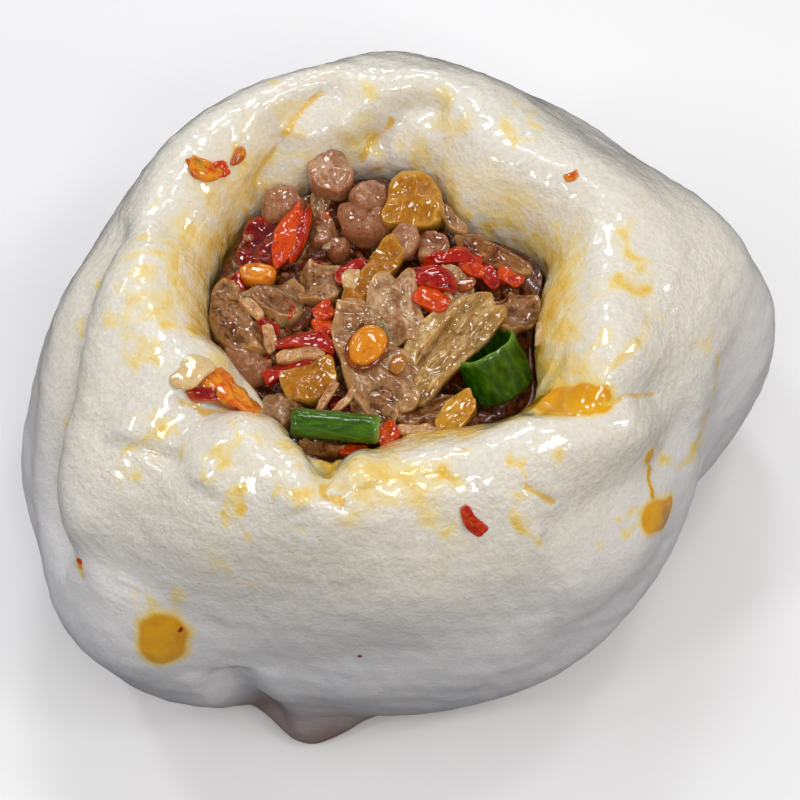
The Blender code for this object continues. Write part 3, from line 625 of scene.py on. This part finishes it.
# Kind, middle of its top, length, width and thickness, turn about Z, pitch and any roll, tone from dark to
# light, how much wider its far end is, and how far it bends sideways.
PIECES = (
    ("meat", (-8, 17.2, 45.6), (7, 5, 5), (105, 0), 0.75, -0.1, -0.2),
    ("meat", (-13.5, 13, 44.2), (4.8, 4.6, 4.5), (145, 0), 0.55, 0, -0.2),
    ("meat", (-3.5, 13.5, 45), (4.6, 4.2, 5), (20, 0), 0.6, 0.1, 0),
    ("meat", (-4, 10.5, 44.4), (6, 5, 5), (0, 0), 0.45, 0, 0.1),
    ("meat", (-9, 10, 43), (4, 3.5, 3), (90, 0), 0.5, 0, 0.1),
    ("meat", (-7, 8, 42.6), (3, 2.6, 3), (80, 0), 0.35, 0, 0.1),
    ("meat", (-17, -7, 42.6), (6.5, 3.4, 3.4), (145, 0), 0.65, -0.1, -0.2),
    ("meat", (0.5, 7, 45.4), (4.2, 3.6, 3), (75, 0), 0.6, 0, -0.1),
    ("meat", (3.5, 6.5, 44.8), (4.2, 3.2, 2.6), (100, 0), 0.4, -0.1, 0.3),
    ("slice", (-9.5, 13, 43.6), (3.5, 1.5, 1.2), (90, 6), 0.6, 0.1, 0.1),
    ("slice", (-14, 0.5, 42.8), (6.5, 5, 2), (135, 0), 0.45, 0, 0.5),
    ("slice", (-9, 2.5, 43.3), (5.2, 5, 2.4), (90, 0), 0.5, 0, 0.2),
    ("slice", (-18, -2.5, 43.2), (10, 4.6, 2.6), (125, 1), 0.35, 0.1, -0.4),
    ("slice", (5, 11.5, 44), (6, 2, 1.6), (120, 5), 0.5, -0.1, -0.2),
    ("slice", (6, 0.5, 44.6), (7, 3.2, 1), (100, 5), 0.8, -0.2, 0.9),
    ("slice", (0, -2, 45.4), (11, 4.8, 1.5), (100, 6), 0.75, 0, -0.6),
    ("slice", (-3, -8.5, 44.7), (14, 7.8, 1.6), (110, 3), 0.55, 0, 0.1),
    ("slice", (12.5, -1.5, 43.8), (5.4, 5, 1.8), (30, 3), 0.35, -0.1, -0.1),
    ("slice", (3, -14, 43), (7, 3.6, 2), (20, 0), 0.2, -0.3, 0.4),
    ("slice", (-2.5, -14, 44.2), (5.4, 4.4, 1.6), (155, 2), 0.3, -0.1, 0.4),
    ("slice", (-13.5, -13.5, 42.8), (4.2, 3.4, 3.2), (105, 0), 0.6, 0, 0.2),
    ("slice", (-11, -13, 42.9), (3.6, 2.5, 1.4), (165, 0), 0.3, -0.1, -0.2),
    ("slice", (-8, -18.3, 42.8), (5.5, 1.2, 1.4), (170, 0), 0.5, 0, -0.2),
    ("olive", (-10, -10.5, 44.2), (6.4, 4.2, 1.5), (20, 2), 0.6, -0.1, 0.4),
    ("olive", (-3, 3, 44.6), (11.5, 3.2, 1.5), (55, 7), 0.5, 0.1, 0),
    ("olive", (1.5, 12.5, 45.2), (6.8, 6.6, 2.6), (85, 6), 0.75, -0.2, 0.2),
    ("olive", (6, -15, 44.2), (5.6, 3.2, 1.6), (45, 4), 0.95, 0, -0.2),
    ("chilli", (-15.5, 8.5, 42.4), (7, 5, 1.8), (90, 6), 0.1, -0.2, -0.2),
    ("shard", (-12.6, 8, 44.3), (9, 3.4, 1.6), (72, 13, 10), 0.9, 0, 0.1),
    ("shard", (-11.5, 8.4, 44.1), (7.4, 1.4, 1.4), (74, 12, -25), 0.55, 0, 0.3),
    ("chilli", (-18.5, 2.5, 42.6), (3, 1.8, 1), (105, 6), 0.55, 0, 0),
    ("chilli", (-14.5, -4, 42.9), (4.5, 2, 1), (120, 0), 0.3, 0, 0.3),
    ("chilli", (-8.5, -1.5, 43.5), (2.6, 2, 1), (35, 0), 0.8, 0, 0.2),
    ("chilli", (-8.5, -3.5, 43.1), (2.6, 2.5, 1), (110, 0), 1, 0, 0),
    ("chilli", (-10.5, -5.8, 44), (6.6, 2, 1), (175, 0, 10), 0.4, -0.1, 0.9),
    ("chilli", (-12, -8.7, 43.2), (6.4, 1.6, 1), (18, 2), 0.35, -0.1, -0.5),
    ("chilli", (-5.5, 3.5, 43.8), (3.8, 2, 1), (30, 3), 0.45, 0, -0.2),
    ("chilli", (6, 5, 44.4), (7, 1.8, 1), (5, 0, 10), 0.55, 0.1, -0.7),
    ("chilli", (8, 4, 43.6), (3.2, 1.6, 1), (160, 2), 0.9, 0, -0.1),
    ("chilli", (12.5, 3.5, 43.4), (3.2, 2.5, 1), (155, 3), 1, -0.1, -0.2),
    ("chilli", (10, 3.5, 43.1), (3.2, 2, 1), (130, 4), 0.45, 0, -0.1),
    ("chilli", (3.5, 1.5, 45.7), (5.8, 2.6, 1), (170, -2), 0.3, 0, 0.4),
    ("chilli", (3.5, -1, 45.3), (4.2, 2.6, 1), (155, 0), 1, -0.1, 0.1),
    ("chilli", (-1.5, -17.5, 44.1), (2.7, 2.2, 1), (40, 4), 0.95, 0.1, -0.1),
    ("chilli", (-6, -14, 43.1), (3, 2, 1), (0, 0), 0.15, 0, 0),
    ("chilli", (-5, -19, 42.9), (3.2, 1.2, 1), (0, 0), 0.9, 0.1, -0.4),
    ("pith", (-16.5, -1, 43.4), (3.5, 1.4, 1), (130, 0), 0.4, 0, 0.2),
    ("pith", (-14.5, -5, 43.6), (3.2, 1.4, 1.2), (105, 0), 0.5, 0, 0.1),
    ("pith", (-11, -7.4, 43.9), (5.4, 1.6, 1.4), (5, 1), 0.45, 0, -0.3),
    ("pith", (-8, -13, 44.2), (4.4, 0.9, 0.8), (60, 5), 0.3, 0.1, -0.5),
    ("pith", (-6, -13.5, 44.4), (5, 0.9, 0.8), (50, 4), 0.35, 0.1, 0.9),
    ("pith", (-5.5, 2, 44.8), (2.6, 1.9, 1.6), (75, 0), 0.7, 0, -0.1),
    ("pith", (2, -17, 44), (4.6, 1.3, 1.2), (0, 0), 0.45, 0, -0.3),
    ("seed", (-16, 3.5, 43.8), (4.2, 2.6, 2.2), (175, 1), 0.5, 0, -0.1),
    ("seed", (-3.6, -7.6, 46.3), (5, 3.9, 1.7), (60, 5), 0.55, 0.1, 0),
    ("onion", (10.5, 6, 44), (9.5, 2.6, 1.6), (150, 3), 0.4, 0.1, 0),
    ("stem", (5.5, -6.6, 44.5), (15.5, 5, 1.5), (50, 9), 0.6, 0.1, -0.3),
    ("stem", (3.4, -4.8, 45), (11, 2.2, 1.3), (52, 8), 0.8, 0, -0.4),
)
# Smaller cut pieces under and between the large ones: kind, how many, smallest and largest size in mm.
UNDER = (("slice", 34, 2.6, 4.6), ("meat", 26, 2.4, 4.0), ("olive", 12, 2.4, 3.6), ("chilli", 16, 1.8, 3.2))
UNDER_REACH, UNDER_RISE = 16.5, 1.4
UNDER_PLACES, UNDER_SHAPES = 5, 700  # seeds of the random draws


def morsel(kind, size, taper, bend, seed, turns):
    """Local points of one piece with its top at height 0, and its fields: share, along and across."""
    square, ragged, flat_top, turned, folds, crumple, finest, pleats = KINDS[kind]
    length, width, thick = (s * MM for s in size)
    rng = np.random.default_rng(seed)
    turn = np.arange(turns) * 2 * math.pi / turns
    outline = (np.abs(np.cos(turn)) ** square + np.abs(np.sin(turn)) ** square) ** (-1 / square)
    ruffle = 0
    for k in range(2, 11):
        tall, start = ragged * rng.normal(), rng.uniform(0, ANY_TURN)
        outline = outline + tall / (k - 1) ** 1.4 * np.cos(k * turn + start)
        tall, start = ragged * rng.normal(), rng.uniform(0, ANY_TURN)
        ruffle = ruffle + tall / (k - 1) * np.cos(k * turn + start)
    # From the middle of the top, over the edge, to the middle of the underside.
    section = np.append(np.linspace(0.08, 1.5, turns // 4), np.linspace(1.7, 3.0, turns // 12))[:, None]
    share = np.sin(section) ** 0.75
    height = np.sign(np.cos(section)) * np.abs(np.cos(section)) ** (1 - flat_top)
    u, v = share * outline * np.cos(turn), share * outline * np.sin(turn)
    x = u * length / 2
    y = v * width / 2 * (1 + taper * u) + bend * width / 2 * (u * u - 0.4)
    edge = -turned * width / 4 * v * v + 1.6 * thick * ruffle * share**3
    wobble = np.sin(x / SLOW_WOBBLE + seed) + np.sin(x / QUICK_WOBBLE + 2 * seed)
    pleat = np.abs(np.sin(math.pi * y / PLEAT + 0.5 * wobble + seed))
    slack = min(1, thick / MM)  # the smallest flecks crumple less
    z = 0.5 * thick * (height - 1) + edge - slack * pleats * MM * pleat * (1 + height) / 2
    points = np.stack(np.broadcast_arrays(x, y, z), -1)
    if kind == "seed":
        groove = np.exp(-(((share - 0.55 - 0.12 * np.cos(turn)) / 0.09) ** 2)) * (1 + np.cos(turn - 1))
        points[..., 2] -= GROOVE * groove * (height > 0)
    local = points.reshape(-1, 3)
    fold = waves(local, 7 * seed, count=5, short=3.5 * MM, long=9 * MM).reshape(points.shape[:2])
    if flat_top > 0.6:  # thin slices buckle into sharp ridges, lumps stay round
        fold = 1.2 - 1.5 * np.abs(fold)
    points[..., 2] += slack * folds / 2 * MM * fold
    for axis, amount in enumerate((0.5, 0.5, 1.0)):  # it crumples most up and down
        rough = waves(local, 100 * seed + axis, count=12, short=finest * MM, long=3 * finest * MM)
        points[..., axis] += slack * amount * crumple / 2 * MM * rough.reshape(points.shape[:2])
    return points, share + 0 * u, x, y


def laid(place, turn):
    """Where a piece lies: middle in mm, turn about Z, pitch and any roll in degrees."""
    about_z, pitch, roll = (math.radians(a) for a in (*turn, 0)[:3])
    spin = Matrix.Rotation(about_z, 4, "Z") @ Matrix.Rotation(-pitch, 4, "Y") @ Matrix.Rotation(roll, 4, "X")
    return Matrix.Translation([c * MM for c in place]) @ spin


def scattered(rng, limit):
    """A random place in the mouth, no more than this many mm from its middle."""
    reach, turn = limit * math.sqrt(rng.uniform()) * MM, rng.uniform(0, 2 * math.pi)
    return MOUTH_X + reach * math.cos(turn), MOUTH_Y + reach * math.sin(turn)


def moved(points, matrix):
    """Points put in place by a matrix."""
    matrix = np.array(matrix)
    return points @ matrix[:3, :3].T + matrix[:3, 3]


def make_morsels(name, kind, pieces, turns=MORSEL_TURNS, lay=moved, part="filling"):
    """All the pieces of one kind as one mesh; each piece is its size, place, tone, taper, bend and seed."""
    shells, fields = [], {"share": [], "tone": [], "along": [], "across": []}
    for size, matrix, tone, taper, bend, seed in pieces:
        points, share, along, across = morsel(kind, size, taper, bend, seed, turns)
        shells.append(shell(lay(points, matrix)))
        for field, values in zip(fields, (share, np.array([tone]), along, across)):
            fields[field].append(values)
    morsels = make_mesh(name, shells, part, part, **fields)
    morsels.data.materials.append(materials[kind])


def food_material(name, colours, lump, relief, see_through, fibre):
    """Wet braised food: dark, middle, light and rim colours, lump size and depth of relief."""
    dark, middle, light, rim = colours
    material, shader, place = make_material(
        name,
        Subsurface_Weight=see_through,
        Subsurface_Radius=(1.0, 0.4, 0.15),
        Subsurface_Scale=1.2 * MM,
        Specular_IOR_Level=0.1,
        Coat_Weight=1.0,
        Coat_IOR=1.6,
        Coat_Roughness=0.05,
    )
    cloud = place.noise(lump, 4, 0.62, 0.6)
    fine = place.noise(lump / 4, 3, 0.6)
    sockets = {0: place.field("along") * 0.14, 1: place.field("across"), 2: place.field("tone") * 0.1}
    threads = place.node("CombineXYZ", sockets).noise(0.6 * MM, 3, 0.6)
    tone = place.field("tone") + (cloud - 0.5) * 1.7 + (fine - 0.5) * 1.1 + (threads - 0.5) * fibre * 1.3
    colour = tone.step(0.0, 0.5).mix(dark, middle)
    colour = tone.step(0.5, 1.1).mix(colour, light)
    edge = (place.field("share") + (cloud - 0.5) * 0.5).step(0.74, 1.0)
    colour = (edge * 0.45).mix(colour, rim)
    film = place.noise(0.5 * MM, 1, 0.4)
    height = place.noise(lump, 1, 0.4) * relief + film * 0.07 * MM + threads * fibre * 0.03 * MM
    feed(shader, Base_Color=colour, Roughness=0.25 + fine * 0.3, Normal=place.bump(height))
    return material


# Dark, middle, light and rim colours.
COLOURS = {
    "meat": ((0.16, 0.035, 0.01), (0.35, 0.145, 0.065), (0.6, 0.37, 0.24), (0.4, 0.12, 0.03)),
    "slice": ((0.12, 0.03, 0.005), (0.33, 0.155, 0.055), (0.64, 0.43, 0.26), (0.66, 0.38, 0.13)),
    "olive": ((0.2, 0.05, 0.001), (0.43, 0.155, 0.002), (0.6, 0.3, 0.02), (0.62, 0.34, 0.05)),
    "chilli": ((0.13, 0.001, 0.0), (0.42, 0.007, 0.001), (0.7, 0.075, 0.001), (0.6, 0.04, 0.002)),
    "pith": ((0.34, 0.12, 0.04), (0.58, 0.32, 0.14), (0.76, 0.55, 0.28), (0.58, 0.32, 0.1)),
    "seed": ((0.44, 0.09, 0.001), (0.72, 0.24, 0.002), (0.82, 0.4, 0.012), (0.6, 0.15, 0.001)),
    "onion": ((0.1, 0.02, 0.003), (0.28, 0.1, 0.02), (0.6, 0.34, 0.12), (0.6, 0.36, 0.14)),
    "stem": ((0.16, 0.06, 0.008), (0.38, 0.2, 0.05), (0.66, 0.46, 0.2), (0.52, 0.28, 0.06)),
    "oil": ((0.16, 0.02, 0.0), (0.36, 0.08, 0.002), (0.42, 0.17, 0.02), (0.24, 0.04, 0.0)),
    "sheet": ((0.3, 0.003, 0.001), (0.66, 0.08, 0.001), (0.84, 0.32, 0.015), (0.72, 0.16, 0.003)),
}
# Size and relief of the lumps in mm, how far light goes in, and how fibrous it is.
FLESH = {
    "meat": (1.2, 0.16, 0.5, 0.2),
    "slice": (1.8, 0.14, 0.6, 0.9),
    "olive": (2.0, 0.16, 0.5, 0.6),
    "chilli": (1.4, 0.2, 0.4, 0.4),
    "pith": (1.0, 0.15, 0.5, 0.9),
    "seed": (1.4, 0.14, 0.4, 0.3),
    "onion": (1.4, 0.2, 0.4, 1.0),
    "stem": (1.8, 0.2, 0.5, 1.9),
    "oil": (2.0, 0.02, 0.3, 0.0),
    "sheet": (1.2, 0.2, 0.6, 0.8),
}
COLOURS["shard"], FLESH["shard"] = COLOURS["chilli"], FLESH["chilli"]
materials = {}
for kind, (lump, relief, see_through, fibre) in FLESH.items():
    materials[kind] = food_material(kind, COLOURS[kind], lump * MM, relief * MM, see_through, fibre)
    pieces = [
        (size, laid(place, turn), tone, taper, bend, seed)
        for seed, (name, place, size, turn, tone, taper, bend) in enumerate(PIECES)
        if name == kind
    ]
    if pieces:
        make_morsels(kind, kind, pieces)

rng = np.random.default_rng(UNDER_PLACES)
for kind, count, small, large in UNDER:
    pieces = []
    for k in range(count):
        x, y = scattered(rng, UNDER_REACH)
        length = rng.uniform(small, large)
        size = (length, length * rng.uniform(0.5, 0.9), length * rng.uniform(0.3, 0.6))
        place = (x / MM, y / MM, heap_height(x, y) / MM + rng.uniform(0.6, UNDER_RISE))
        lie = laid(place, (rng.uniform(0, 360), rng.uniform(-25, 25), rng.uniform(-25, 25)))
        # their tones run darker than the large pieces': partly random tone, partly painted shade in the gaps
        # under them
        tone, taper, bend = rng.uniform(-0.1, 0.5), rng.uniform(-0.3, 0.3), rng.uniform(-0.3, 0.3)
        pieces.append((size, lie, tone, taper, bend, UNDER_SHAPES + k))
    make_morsels(kind + "_under", kind, pieces, SMALL_TURNS)

# ---- crumbs and oil in the filling ----
# Mince, chilli crumbs and shreds that came loose lie on the sauce and on the larger pieces, and clear red oil
# stands round the seed and in the hollows.
CRUMBS = (("meat", 130, 0.6, 1.7), ("chilli", 60, 0.4, 1.1), ("pith", 40, 0.4, 1.2), ("slice", 60, 0.8, 2.2))
CRUMB_REACH, CRUMB_TOP = 17.0, 43.0  # they lie in the hollows, no higher than this
CRUMB_PLACES, CRUMB_SHAPES, OIL_SHAPES = 12, 400, 300  # seeds
CEILING = 60 * MM  # above everything that a crumb can fall on
SEED_OIL_HEIGHT, DROP_RISE = 45.6, 0.3  # mm; a drop stands this much above what is under it
OIL_PITCH = 3
# Place, size, turn and tone of the oil that stands on the pieces: round the seed first, then two drops.
OIL = (
    ((-3.7, -7.6), (5.7, 4.6, 1.1), 60, 0.25),
    ((-0.2, -9.4), (2.6, 1.8, 0.7), 75, 1.0),
    ((7, 1.5), (3, 2, 0.8), 10, 0.3),
)
tops = [o for o in bpy.data.objects if "filling" in (o.get("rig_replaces") or ())]
trees = [
    BVHTree.FromPolygons([v.co for v in top.data.vertices], [p.vertices for p in top.data.polygons])
    for top in tops
]


def top_below(x, y):
    """The highest point of the filling under (x, y), and its normal."""
    hits = [tree.ray_cast(Vector((x, y, CEILING)), Vector((0, 0, -1))) for tree in trees]
    hits = [hit for hit in hits if hit[0] is not None]
    return max(hits, key=lambda hit: hit[0].z)[:2]


rng = np.random.default_rng(CRUMB_PLACES)
for kind, count, small, large in CRUMBS:
    pieces = []
    for k in range(count):
        spot, normal = top_below(*scattered(rng, CRUMB_REACH))
        length = small + (large - small) * rng.uniform() ** 2
        size = (length, length * rng.uniform(0.4, 0.8), length * rng.uniform(0.3, 0.6))
        spin = Matrix.Rotation(rng.uniform(0, ANY_TURN), 4, "Z")
        lay = normal.to_track_quat("Z", "Y").to_matrix().to_4x4() @ spin
        raised = Vector(spot) - Vector(SHIFT) + normal * 0.25 * size[2] * MM
        tone = rng.uniform(0.1, 1)
        if spot.z < CRUMB_TOP * MM:
            pieces.append((size, Matrix.Translation(raised) @ lay, tone, 0, 0, CRUMB_SHAPES + k))
    make_morsels(kind + "_crumbs", kind, pieces, CRUMB_TURNS)

pieces = []
for number, ((x, y), size, turn, tone) in enumerate(OIL):
    top = (top_below(x * MM, y * MM)[0].z - SHIFT[2]) / MM
    height = top + DROP_RISE if number else SEED_OIL_HEIGHT
    pieces.append((size, laid((x, y, height), (turn, OIL_PITCH)), tone, 0, 0, OIL_SHAPES + number))
make_morsels("oil", "oil", pieces)

# ---- bits on the skin ----
# Chilli flakes, pale shreds and specks that stuck to the oily dough when the bun was filled. They bend with
# the skin and bridge its folds.
STUCK_SHAPES = 200  # seed
DRAPE = 0.7  # share of the skin under a bit that lies below it
# Kind, compass, way, size, how far it stands out in mm, turn, tone, taper and bend.
STUCK = (
    ("sheet", 146, 6.6, (3.8, 2.4, 0.8), 0.7, -10, 0.9, -0.3, 0.2),
    ("sheet", 148, 6.45, (2.6, 1.3, 0.7), 0.6, 100, 0.8, 0, 0.5),
    ("chilli", 142, 6.8, (1.9, 1.6, 0.9), 0.7, 20, 0.9, 0, 0),
    ("seed", 135, 6.85, (2.6, 1.3, 0.7), 0.5, 50, 0.0, 0.3, 0.3),
    ("chilli", 288, 4.94, (3.7, 1.5, 0.8), 0.6, -58, 0.75, 0.2, 0.5),
    ("sheet", 224, 6.75, (8.6, 5.6, 0.9), 0.6, -8, 0.85, 0.1, 0),
    ("sheet", 226, 6.35, (7.4, 1.3, 0.9), 0.9, 0, -0.3, -0.2, 0.2),
    ("sheet", 27, 6.15, (1.7, 1.0, 0.4), 0.25, 20, 0.75, 0.2, 0.3),
    ("chilli", 219, 3.74, (0.7, 0.6, 0.4), 0.2, 0, 0.8, 0, 0),
    ("chilli", 236, 3.54, (0.9, 0.4, 0.4), 0.4, 60, 0.2, 0, 0),
    ("pith", 216, 6.15, (4.2, 3.5, 0.6), 0.4, 60, 1.1, 0.1, 0),
    ("pith", 344, 7.6, (2.6, 1.6, 0.8), 0.5, 80, 0.9, 0.2, 0.1),
    ("meat", 264, 3.4, (0.5, 0.4, 0.2), 0.1, 0, -0.3, 0, 0),
    ("meat", 20, 5.3, (0.5, 0.4, 0.2), 0.1, 0, -0.3, 0, 0),
)


def draped(points, place):
    """A bit bent to the skin round its place; with no turn its own X runs towards +X."""
    compass, way, above, turn = place
    turn = math.radians(turn)
    normal = outward(compass, way)
    side = np.array((1.0, 0, 0)) - normal[0] * normal
    side /= np.linalg.norm(side)
    up = np.cross(normal, side)
    x, y = side * math.cos(turn) + up * math.sin(turn), up * math.cos(turn) - side * math.sin(turn)
    around = skin(compass + 0.5, way) - skin(compass - 0.5, way)
    along = (skin(compass, way + 0.05) - skin(compass, way - 0.05)) / 0.1
    steps = (points[..., :1] * x + points[..., 1:2] * y) @ np.linalg.pinv(np.array([around, along]))
    spots, normals = formed_skin(compass + steps[..., 0], way + steps[..., 1])
    even = skin(compass + steps[..., 0], way + steps[..., 1])
    level = np.quantile(((spots - even) * normals).sum(-1), DRAPE)
    return even + normals * (points[..., 2:] + above * MM + level)


for kind in ("sheet", "chilli", "pith", "seed", "meat"):
    pieces = [
        (size, (compass, way, above, turn), tone, taper, bend, seed + STUCK_SHAPES)
        for seed, (name, compass, way, size, above, turn, tone, taper, bend) in enumerate(STUCK)
        if name == kind
    ]
    make_morsels("stuck_" + kind, kind, pieces, SMALL_TURNS, draped, "dough")

# ---- the scallions ----
# Two cut lengths of green scallion leaf: a short wide tube that stands askew in the sauce, and a thin
# closed one that lies at the low side of the rim.
RING = {"middle": (10.4, -7.5, 41.0), "axis": (-0.41, 0.49, 0.77), "radius": 3.6, "length": 6.0, "wall": 0.8}
STICK = {"middle": (-7.0, -17.1, 44.6), "axis": (0.99, -0.1, 0.0), "radius": 1.55, "length": 9.6}
OVAL = 1.04  # how much wider, and how much flatter, than round
TUBE_TURNS = 72
TUBE_SEED = 50


def tube_frame(tube):
    """Places the tube's own Z along its axis."""
    axis = np.array(tube["axis"], float)
    axis /= np.linalg.norm(axis)
    side = np.cross((0, 0, 1), axis)
    side /= np.linalg.norm(side)
    pose = Matrix(np.array([side, np.cross(axis, side), axis]).T.tolist()).to_4x4()
    return Matrix.Translation([c * MM for c in tube["middle"]]) @ pose


def tube_rings(loop, crumple, seed):
    """Rings of a slightly flattened tube through (radius, height) points in mm, ribbed and crumpled."""
    turn = np.arange(TUBE_TURNS) * 2 * math.pi / TUBE_TURNS
    radius, height = np.array(loop).T[..., None] * MM
    ribs = 1 + 0.006 * np.sin(18 * turn) + 0.004 * np.sin(31 * turn + 1)
    x, y = radius * OVAL * np.cos(turn) * ribs, radius / OVAL * np.sin(turn) * ribs
    rings = np.stack(np.broadcast_arrays(x, y, height), -1)
    for axis in range(3):
        rough = waves(rings.reshape(-1, 3), seed + axis, count=7, short=1.5 * MM, long=5 * MM)
        rings[..., axis] += crumple / 2 * MM * rough.reshape(rings.shape[:2])
    return rings, turn + 0 * x, height + 0 * x


def profile(*corners):
    """Points along these corners: radius and height in mm, and the number of steps to the next corner."""
    loop = []
    for (*here, steps), (*there, _) in zip(corners, corners[1:]):
        here, there = np.array(here), np.array(there)
        loop.extend(here + (there - here) * k / steps for k in range(steps))
    return loop


# Each cut edge is a little rounded, and the ring's wall thins towards its upper end.
radius, half, inner = RING["radius"], RING["length"] / 2, RING["radius"] - RING["wall"]
ring_loop = profile(
    (inner, -half, 3),
    (radius - 0.2, -half, 2),
    (radius, -half + 0.3, 18),
    (radius, half - 0.3, 3),
    (radius - 0.25, half, 2),
    (radius - 0.4, half - 0.1, 6),
    (inner, half - 2.2, 10),
    (inner, -half, 0),
)
radius, half = STICK["radius"], STICK["length"] / 2
stick_loop = profile(
    (0.1, -half, 4),
    (radius - 0.3, -half, 4),
    (radius, -half + 0.4, 24),
    (radius, half - 0.3, 4),
    (radius - 0.25, half, 4),
    (0.1, half, 0),
) + [(0.1, half)]
material, shader, place = make_material(
    "scallion", Subsurface_Weight=0.25, Subsurface_Radius=(0.4, 1.0, 0.1), Subsurface_Scale=0.8 * MM
)
veined = place.node("CombineXYZ", {0: place.field("round") * 2 * MM, 1: place.field("along") * 0.25})
veins = veined.noise(0.45 * MM, 2, 0.5)
blotch = place.noise(1.8 * MM, 3, 0.6)
colour = (veins * 0.9 + blotch * 0.2).step(0.35, 0.85).mix((0.01, 0.048, 0.001), (0.055, 0.17, 0.003))
colour = place.field("pale").mix(colour, (0.26, 0.42, 0.05))
relief = veins * 0.02 * MM + blotch * 0.15 * MM
feed(shader, Base_Color=colour, Roughness=0.1 + veins * 0.1, Normal=place.bump(relief))
for name, tube, loop, wrap, crumple in (
    ("scallion_tube", RING, ring_loop, True, 0.06),
    ("scallion_length", STICK, stick_loop, False, 0.03),
):
    rings, round_, along = tube_rings(loop, crumple, TUBE_SEED)
    end = np.maximum(along / (tube["length"] / 2 * MM), 0) ** 12 * 0.6 + (0 if wrap else 0.08)
    piece = make_mesh(
        name,
        [shell(moved(rings, tube_frame(tube)), wrap)],
        "scallion_ring" if wrap else "scallion_stick",
        "scallion",
        round=[round_],
        along=[along],
        pale=[end],
    )
    piece.data.materials.append(material)

# ---- the table and the light ----
# A plain pale table in a dim white room. Wide lamps shade the dough softly and aren't mirrored in it; small
# ones round about and overhead make the glints in the wet film.
TABLE, TABLE_GAP = 1.2, 0.2 * MM
bpy.ops.mesh.primitive_plane_add(size=TABLE, location=(0, 0, -TABLE_GAP))
table = bpy.context.object
table.name = "table"
material, shader, place = make_material("table", Roughness=0.6, Specular_IOR_Level=0.2)
feed(shader, Base_Color=place.noise(0.05).mix((0.92, 0.92, 0.93), (0.95, 0.95, 0.96)))
table.data.materials.append(material)
table.visible_diffuse = False  # a white table would throw too much light up at the underside
table.visible_glossy = False  # and be mirrored in the oil low on the sides

AIM = Vector((-0.42 * MM, -0.6 * MM, 20.6 * MM))  # what the lamps and the camera face
# Each lamp: its compass angle, how high it stands in degrees, its size in metres, its watts and its colour.
LAMP_REACH = 0.6
WARM, COOL, WHITE = (1.0, 0.95, 0.88), (0.95, 0.97, 1.0), (1.0, 1.0, 1.0)
LAMPS = (
    # wide
    (270, 62, 0.25, 0.58, WARM),
    (315, 35, 0.25, 0.42, WARM),
    (0, 11, 0.2, 0.4, (1.0, 0.9, 0.8)),
    (90, 11, 0.2, 0.38, (0.84, 0.9, 1.0)),
    (135, 11, 0.2, 0.42, (1.0, 0.92, 0.84)),
    (185, 35, 0.25, 0.54, (0.9, 0.93, 1.0)),
    # small
    (93, 58, 0.12, 0.54, COOL),
    (145, 50, 0.08, 0.38, WHITE),
    (335, 58, 0.11, 0.38, WHITE),
    (283, 52, 0.08, 0.3, WHITE),
    (215, 48, 0.08, 0.34, WHITE),
    (12, 20, 0.07, 0.28, WHITE),
    (40, 68, 0.08, 0.25, WHITE),
    (330, 35, 0.05, 0.15, WHITE),
    (88, 25, 0.06, 0.12, WHITE),
)
GLINT_SIZE = 0.15  # lamps wider than this aren't mirrored in the wet film
ROOM_COLOUR, ROOM_STRENGTH = (0.97, 0.96, 1.0, 1), 0.15
for number, (compass, rise, width, watts, colour) in enumerate(LAMPS):
    data = bpy.data.lights.new(f"lamp_{number}", "AREA")
    data.size, data.energy, data.color = width, watts, colour
    lamp = bpy.data.objects.new(data.name, data)
    level = math.cos(math.radians(rise))
    towards = (level * math.cos(math.radians(compass)), level * math.sin(math.radians(compass)))
    lamp.location = AIM + LAMP_REACH * Vector((*towards, math.sin(math.radians(rise))))
    lamp.rotation_euler = (AIM - lamp.location).to_track_quat("-Z", "Y").to_euler()
    lamp.visible_glossy = width < GLINT_SIZE
    bpy.context.collection.objects.link(lamp)
world = bpy.data.worlds.new("world")
bpy.context.scene.world = world
world.use_nodes = True
world.node_tree.nodes["Background"].inputs["Color"].default_value = ROOM_COLOUR
world.node_tree.nodes["Background"].inputs["Strength"].default_value = ROOM_STRENGTH
bpy.context.scene.view_settings.view_transform = "Standard"

ELEVATION, DISTANCE, LENS = 60, 0.318, 120  # degrees, metres, millimetres
camera_data = bpy.data.cameras.new("camera")
camera_data.lens = LENS
camera = bpy.data.objects.new("camera", camera_data)
tilt = math.radians(ELEVATION)
camera.location = AIM + DISTANCE * Vector((0, -math.cos(tilt), math.sin(tilt)))
camera.rotation_euler = (math.radians(90 - ELEVATION), 0, 0)
bpy.context.collection.objects.link(camera)
bpy.context.scene.camera = camera
